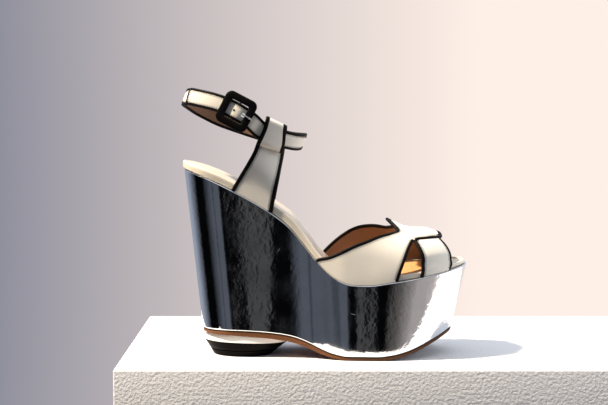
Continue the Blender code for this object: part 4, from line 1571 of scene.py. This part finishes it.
class SANDAL_OT_upper_binding(bpy.types.Operator):
    """Bind the free edges of the upper and whip the bindings on"""

    bl_idname = "sandal.upper_binding"
    bl_label = "Upper binding"

    def execute(self, context):
        sizes = context.scene.sandal_sizes
        trim, wall = sizes.upper_binding / MM, sizes.upper_wall / MM
        lines = [self.edge_line(bound, trim, wall) for bound in UPPER_BOUNDS]
        insides = [upper_point(bound.inside_x, bound.inside_girth, bound.drop) for bound in UPPER_BOUNDS]
        lines.append(self.tab_line(trim, wall))
        insides.append(upper_point(TAB_INSIDE, 0.0, 0.0))
        look = finish_named("binding_leather")
        rise = wall / 2 + sizes.binding_rise / MM
        strips = [binding("upper_binding", line, trim, rise, look) for line in lines]
        ride(join(strips, "upper_binding"), "piping")
        threads = []
        for line, inside in zip(lines, insides):
            threads.append(whip_stitches("upper_stitches", line, inside, trim, wall, sizes))
        ride(join(threads, "upper_stitches"), "piping")
        return {"FINISHED"}

    def edge_line(self, bound, trim, wall):
        """Middle of the binding along an edge of the upper, with its normals."""
        line = []
        for girth in steps(bound.start, bound.end, bound.points):
            x = trimmed_edge(bound.edges, bound.column, girth, bound.drop, trim)
            line.append(wall_middle(x, girth, bound.drop, wall))
        return line

    def tab_line(self, trim, wall):
        """Middle of the binding round the front tab, from notch to notch, with its normals."""
        root, front = value(VAMP_EDGES, "front", -NOTCH), tab_front(1.0, trim)
        ways = steps(0.0, TAB_SIDE_END, TAB_SIDE_POINTS)
        shares = steps(-1.0, 1.0, TAB_FRONT_POINTS)
        spots = [(root + (front - root) * t, tab_girth(-1.0, t, trim)) for t in ways]
        spots += [(tab_front(share, trim), tab_girth(share, 1.0, trim)) for share in shares]
        spots += [(root + (front - root) * t, tab_girth(1.0, t, trim)) for t in reversed(ways)]
        return [wall_middle(x, girth, 0.0, wall) for x, girth in spots]


class SANDAL_OT_quarter_straps(bpy.types.Operator):
    """Make the two quarter straps, folded over the ankle strap, with their bindings"""

    bl_idname = "sandal.quarter_straps"
    bl_label = "Quarter straps"

    def execute(self, context):
        for name, side, drop in (("lateral", -1, LATERAL_DROP), ("medial", 1, MEDIAL_DROP)):
            self.strap(context, name, side, drop)
        return {"FINISHED"}

    def strap(self, context, name, side, drop):
        """One strap, its bindings and their stitches."""
        sizes = context.scene.sandal_sizes
        trim, wall = sizes.strap_binding / MM, sizes.strap_wall / MM
        last = QUARTER_FOLDS[-1].step
        count = (last + 1) * QUARTER_ROWS_A_STEP
        places = steps(-1.0, last, count)
        rows = []
        for place in places:
            inner = [self.inset_share(place, side, drop, end, trim) for end in (0.0, 1.0)]
            shares = steps(inner[0], inner[1], QUARTER_COLUMNS)
            rows.append([quarter_point(place, share, side, drop) for share in shares])
        cream, lining = finish_named("cream_leather"), finish_named("lining_leather")
        strap = skin(f"quarter_strap_{name}_leather", rows, [cream, lining, cream, cream])
        self.face_out(strap, side)
        folded = (QUARTER_TURNOVER + 1) * QUARTER_ROWS_A_STEP
        for index, face in enumerate(strap.data.polygons):
            if index // QUARTER_COLUMNS >= folded:
                face.material_index = 2
        give_wall(strap, sizes.strap_wall, WALL_CENTRED)
        ride(strap, "strap_leather", f"quarter_strap_{name}")
        strips, threads = [], []
        rise = wall / 2 + sizes.binding_rise / MM
        look = finish_named("binding_leather")
        for end in (0.0, 1.0):
            line = []
            for place in places:
                share = self.inset_share(place, side, drop, end, trim)
                normal = quarter_normal(place, share, side, drop)
                line.append((quarter_point(place, share, side, drop), normal))
            inside = quarter_point(places[len(places) // 2], 0.5, side, drop)
            strips.append(binding(f"quarter_binding_{name}", line, trim, rise, look))
            threads.append(whip_stitches(f"quarter_stitches_{name}", line, inside, trim, wall, sizes))
        ride(join(strips, f"quarter_binding_{name}"), "piping")
        ride(join(threads, f"quarter_stitches_{name}"), "piping")

    def inset_share(self, place, side, drop, end, trim):
        """Share across the strap that lies a trim inside one of its edges."""
        rear = quarter_point(place, 0.0, side, drop)
        front = quarter_point(place, 1.0, side, drop)
        share = trim / (front - rear).length
        return share if end == 0.0 else 1 - share

    def face_out(self, strap, side):
        """Turn the strap's foot to the outer side, so that its lining is inside."""
        foot = strap.data.polygons[QUARTER_COLUMNS // 2]
        if foot.normal.y * side < 0:
            flip_faces(strap)


class SANDAL_OT_ankle_strap(bpy.types.Operator):
    """Make the ankle strap with its holes and binding"""

    bl_idname = "sandal.ankle_strap"
    bl_label = "Ankle strap"

    def execute(self, context):
        sizes = context.scene.sandal_sizes
        trim, wall = sizes.ankle_binding / MM, sizes.ankle_wall / MM
        ring = ring_matrix()
        end = 360 + BAR_ANGLE - TIP_ANGLE
        last = end - math.degrees(2 * trim / RING_LENGTH)
        turns = steps(0.0, last, round(last / ANKLE_STEP))

        def spot(turn, share):
            place, outward, upward = ankle_frame(turn)
            half = ankle_half_width(turn, end, trim)
            crown = ANKLE_CROWN * (1 - share * share)
            return ring @ (place + upward * half * share + outward * crown), ring.to_3x3() @ outward

        shares = steps(-1.0, 1.0, ANKLE_COLUMNS)
        rows = [[spot(turn, share)[0] for share in shares] for turn in turns]
        looks = [finish_named("cream_leather"), finish_named("lining_leather")]
        strap = skin("ankle_strap_leather", rows, looks)
        face_away(strap, RING_CENTRE)
        give_wall(strap, sizes.ankle_wall, WALL_CENTRED)
        self.punch(strap, ring)
        ride(strap, "strap_leather", "ankle_strap")
        line = [spot(turn, 1.0) for turn in turns]
        line += [spot(last, share) for share in steps(TIP_SHARE, -TIP_SHARE, TIP_POINTS)]
        line += [spot(turn, -1.0) for turn in reversed(turns)]
        rise = wall / 2 + sizes.binding_rise / MM
        ride(binding("ankle_binding", line, trim, rise, finish_named("binding_leather")), "piping")
        inside = spot(last - TIP_INSIDE, 0.0)[0]
        threads = whip_stitches("ankle_stitches", line, inside, trim, wall, sizes)
        ride(threads, "piping")
        return {"FINISHED"}

    def punch(self, strap, ring):
        """Cut the holes for the prong."""
        for hole in PRONG_HOLES:
            place, outward, upward = ankle_frame(hole.turn)
            bpy.ops.object.select_all(action="DESELECT")
            bpy.ops.mesh.primitive_cylinder_add(
                vertices=HOLE_SIDES, radius=hole.radius * MM, depth=hole.depth * MM
            )
            cutter = bpy.context.object
            turned = (ring.to_3x3() @ outward).to_track_quat("Z", "Y").to_matrix().to_4x4()
            cutter.matrix_world = Matrix.Translation(in_frame(ring @ place)) @ turned
            apply_modifier(strap, "BOOLEAN", operation="DIFFERENCE", object=cutter)
            bpy.data.objects.remove(cutter)


class SANDAL_OT_buckle(bpy.types.Operator):
    """Make the covered buckle and its prong"""

    bl_idname = "sandal.buckle"
    bl_label = "Buckle"

    def execute(self, context):
        place = buckle_matrix()
        inner_length, inner_width = FRAME_LENGTH - 2 * FRAME_BAR, FRAME_WIDTH - 2 * FRAME_SIDE
        outside = rounded_loop(FRAME_LENGTH, FRAME_WIDTH, FRAME_CORNER)
        window = rounded_loop(inner_length, inner_width, WINDOW_CORNER)
        rings = []
        for angle in steps(0.0, 2 * math.pi, FRAME_SIDES):
            across = squared(math.cos(angle), FRAME_POWER)
            lift = Vector((0.0, 0.0, squared(math.sin(angle), FRAME_POWER) * FRAME_THICKNESS / 2))
            rings.append([place @ (a.lerp(b, (1 - across) / 2) + lift) for a, b in zip(outside, window)])
        look = finish_named("cover_leather")
        body = loft("buckle_cover", rings, [look])
        low = BAR_LIFT - FRAME_LIFT
        end = (FRAME_WIDTH - FRAME_SIDE) / 2
        staple = [(0, -end, 0.0), (0, -end, low + BAR_CORNER), (0, BAR_CORNER - end, low)]
        staple += [(x, -y, z) for x, y, z in reversed(staple)]
        bar = tube("buckle_bar", [place @ Vector(point) for point in staple], BAR_RADIUS, look, BAR_SIDES)
        buckle = join([body, bar], "buckle_cover")
        ride(buckle, "buckle_cover", "buckle_frame")
        line = [place @ Vector((pin.along, 0.0, pin.lift)) for pin in PRONG_LINE]
        prong = tube("buckle_prong_steel", line, PRONG_RADIUS, finish_named("polished_steel"), PRONG_SIDES)
        ride(prong, "buckle_steel", "buckle_prong")
        return {"FINISHED"}


class SANDAL_OT_stage(bpy.types.Operator):
    """Set up the board, the backdrop, the light and the camera"""

    bl_idname = "sandal.stage"
    bl_label = "Stage"

    def execute(self, context):
        studio = context.scene.sandal_studio
        self.board()
        self.world(context.scene, studio)
        self.lamp("key_light", studio.key_place, KEY_SIZE, studio.key_power, studio.key_colour)
        fill = self.lamp("fill_light", studio.fill_place, FILL_SIZE, studio.fill_power, studio.fill_colour)
        fill.visible_glossy = False
        data = bpy.data.cameras.new("photo_camera")
        data.sensor_width = SENSOR_WIDTH
        data.lens = studio.lens
        camera = bpy.data.objects.new("photo_camera", data)
        camera.location = studio.camera_place
        camera.rotation_euler = (math.pi / 2 - studio.camera_pitch, 0.0, 0.0)
        context.scene.collection.objects.link(camera)
        context.scene.camera = camera
        context.scene.view_settings.view_transform = "Standard"
        return {"FINISHED"}

    def board(self):
        """Pale board that the shoe stands on."""
        bpy.ops.object.select_all(action="DESELECT")
        bpy.ops.mesh.primitive_cube_add(size=1.0, location=BOARD_PLACE)
        board = bpy.context.object
        board.name = "stage_board"
        board.scale = BOARD_SIZE
        bpy.ops.object.transform_apply(location=True, rotation=False, scale=True)
        apply_modifier(board, "BEVEL", width=BOARD_EDGE, segments=3)
        smooth(board)
        board.data.materials.append(finish_named("stage_board"))

    def lamp(self, name, place, size, power, colour):
        """Square lamp aimed at the shoe."""
        data = bpy.data.lights.new(name, "AREA")
        data.energy = power
        data.size = size
        data.color = colour
        lamp = bpy.data.objects.new(name, data)
        lamp.location = place
        lamp.rotation_euler = (LAMP_AIM - Vector(place)).to_track_quat("-Z", "Y").to_euler()
        bpy.context.scene.collection.objects.link(lamp)
        return lamp

    def world(self, scene, studio):
        """Pale backdrop for the camera, and a dark room with a bright side for the reflections."""
        world = bpy.data.worlds.new("studio")
        scene.world = world
        world.use_nodes = True
        board = Board(world.node_tree)
        shader = world.node_tree.nodes["Background"]
        direction = board.coordinates("Generated")
        x, y, z = [board.axis(direction, name) for name in "XYZ"]
        bearing = board.math("ARCTAN2", x, 0.0 - y) * math.degrees(1.0)
        room = shade(studio.room, 1.0)
        for card in ROOM_CARDS:
            rise = board.span(bearing, card.start, card.full_from)
            fall = board.span(bearing, card.full_to, card.end, 1.0, 0.0)
            room = board.mix(rise * fall, room, shade(card.tone, card.light))
        heel, toe = shade(studio.backdrop_heel, 1.0), shade(studio.backdrop_toe, 1.0)
        backdrop = board.mix(board.span(x, *BACKDROP_SPAN), heel, toe)
        front, behind = shade(studio.front, 1.0), shade(studio.sky, SKY_BEHIND)
        around = board.mix(board.span(y, *FRONT_SPAN), front, behind)
        around = board.mix(board.span(z, *SKY_SPAN), around, shade(studio.sky, 1.0))
        room = board.mix(board.span(z, *ROOM_SPAN), room, around)
        seen = board.node("ShaderNodeLightPath", {}, {}, "Is Camera Ray")
        board.feed(shader, {"Color": board.mix(seen, room, backdrop), "Strength": 1.0})


class SANDAL_PT_pieces(bpy.types.Panel):
    """Pieces of the sandal"""

    bl_label = "Sandal"
    bl_idname = "SANDAL_PT_pieces"
    bl_space_type = "VIEW_3D"
    bl_region_type = "UI"
    bl_category = "Sandal"

    def draw(self, context):
        for maker in MAKERS:
            self.layout.operator(maker.bl_idname)


MAKERS = (
    SANDAL_OT_wedge,
    SANDAL_OT_sole,
    SANDAL_OT_footbed,
    SANDAL_OT_upper,
    SANDAL_OT_upper_binding,
    SANDAL_OT_quarter_straps,
    SANDAL_OT_ankle_strap,
    SANDAL_OT_buckle,
    SANDAL_OT_stage,
)
SETTINGS = {
    "sandal_sizes": SandalSizes,
    "sandal_colours": SandalColours,
    "sandal_studio": SandalStudio,
}


def register():
    """Register the settings, the operators and the panel."""
    for name, group in SETTINGS.items():
        bpy.utils.register_class(group)
        setattr(bpy.types.Scene, name, bpy.props.PointerProperty(type=group))
    for maker in MAKERS:
        bpy.utils.register_class(maker)
    bpy.utils.register_class(SANDAL_PT_pieces)


def unregister():
    """Take the classes back out."""
    bpy.utils.unregister_class(SANDAL_PT_pieces)
    for maker in reversed(MAKERS):
        bpy.utils.unregister_class(maker)
    for name, group in SETTINGS.items():
        delattr(bpy.types.Scene, name)
        bpy.utils.unregister_class(group)


def main():
    """Make every piece and the stage."""
    register()
    bpy.ops.sandal.wedge()
    bpy.ops.sandal.sole()
    bpy.ops.sandal.footbed()
    bpy.ops.sandal.upper()
    bpy.ops.sandal.upper_binding()
    bpy.ops.sandal.quarter_straps()
    bpy.ops.sandal.ankle_strap()
    bpy.ops.sandal.buckle()
    bpy.ops.sandal.stage()


if __name__ == "__main__":
    main()
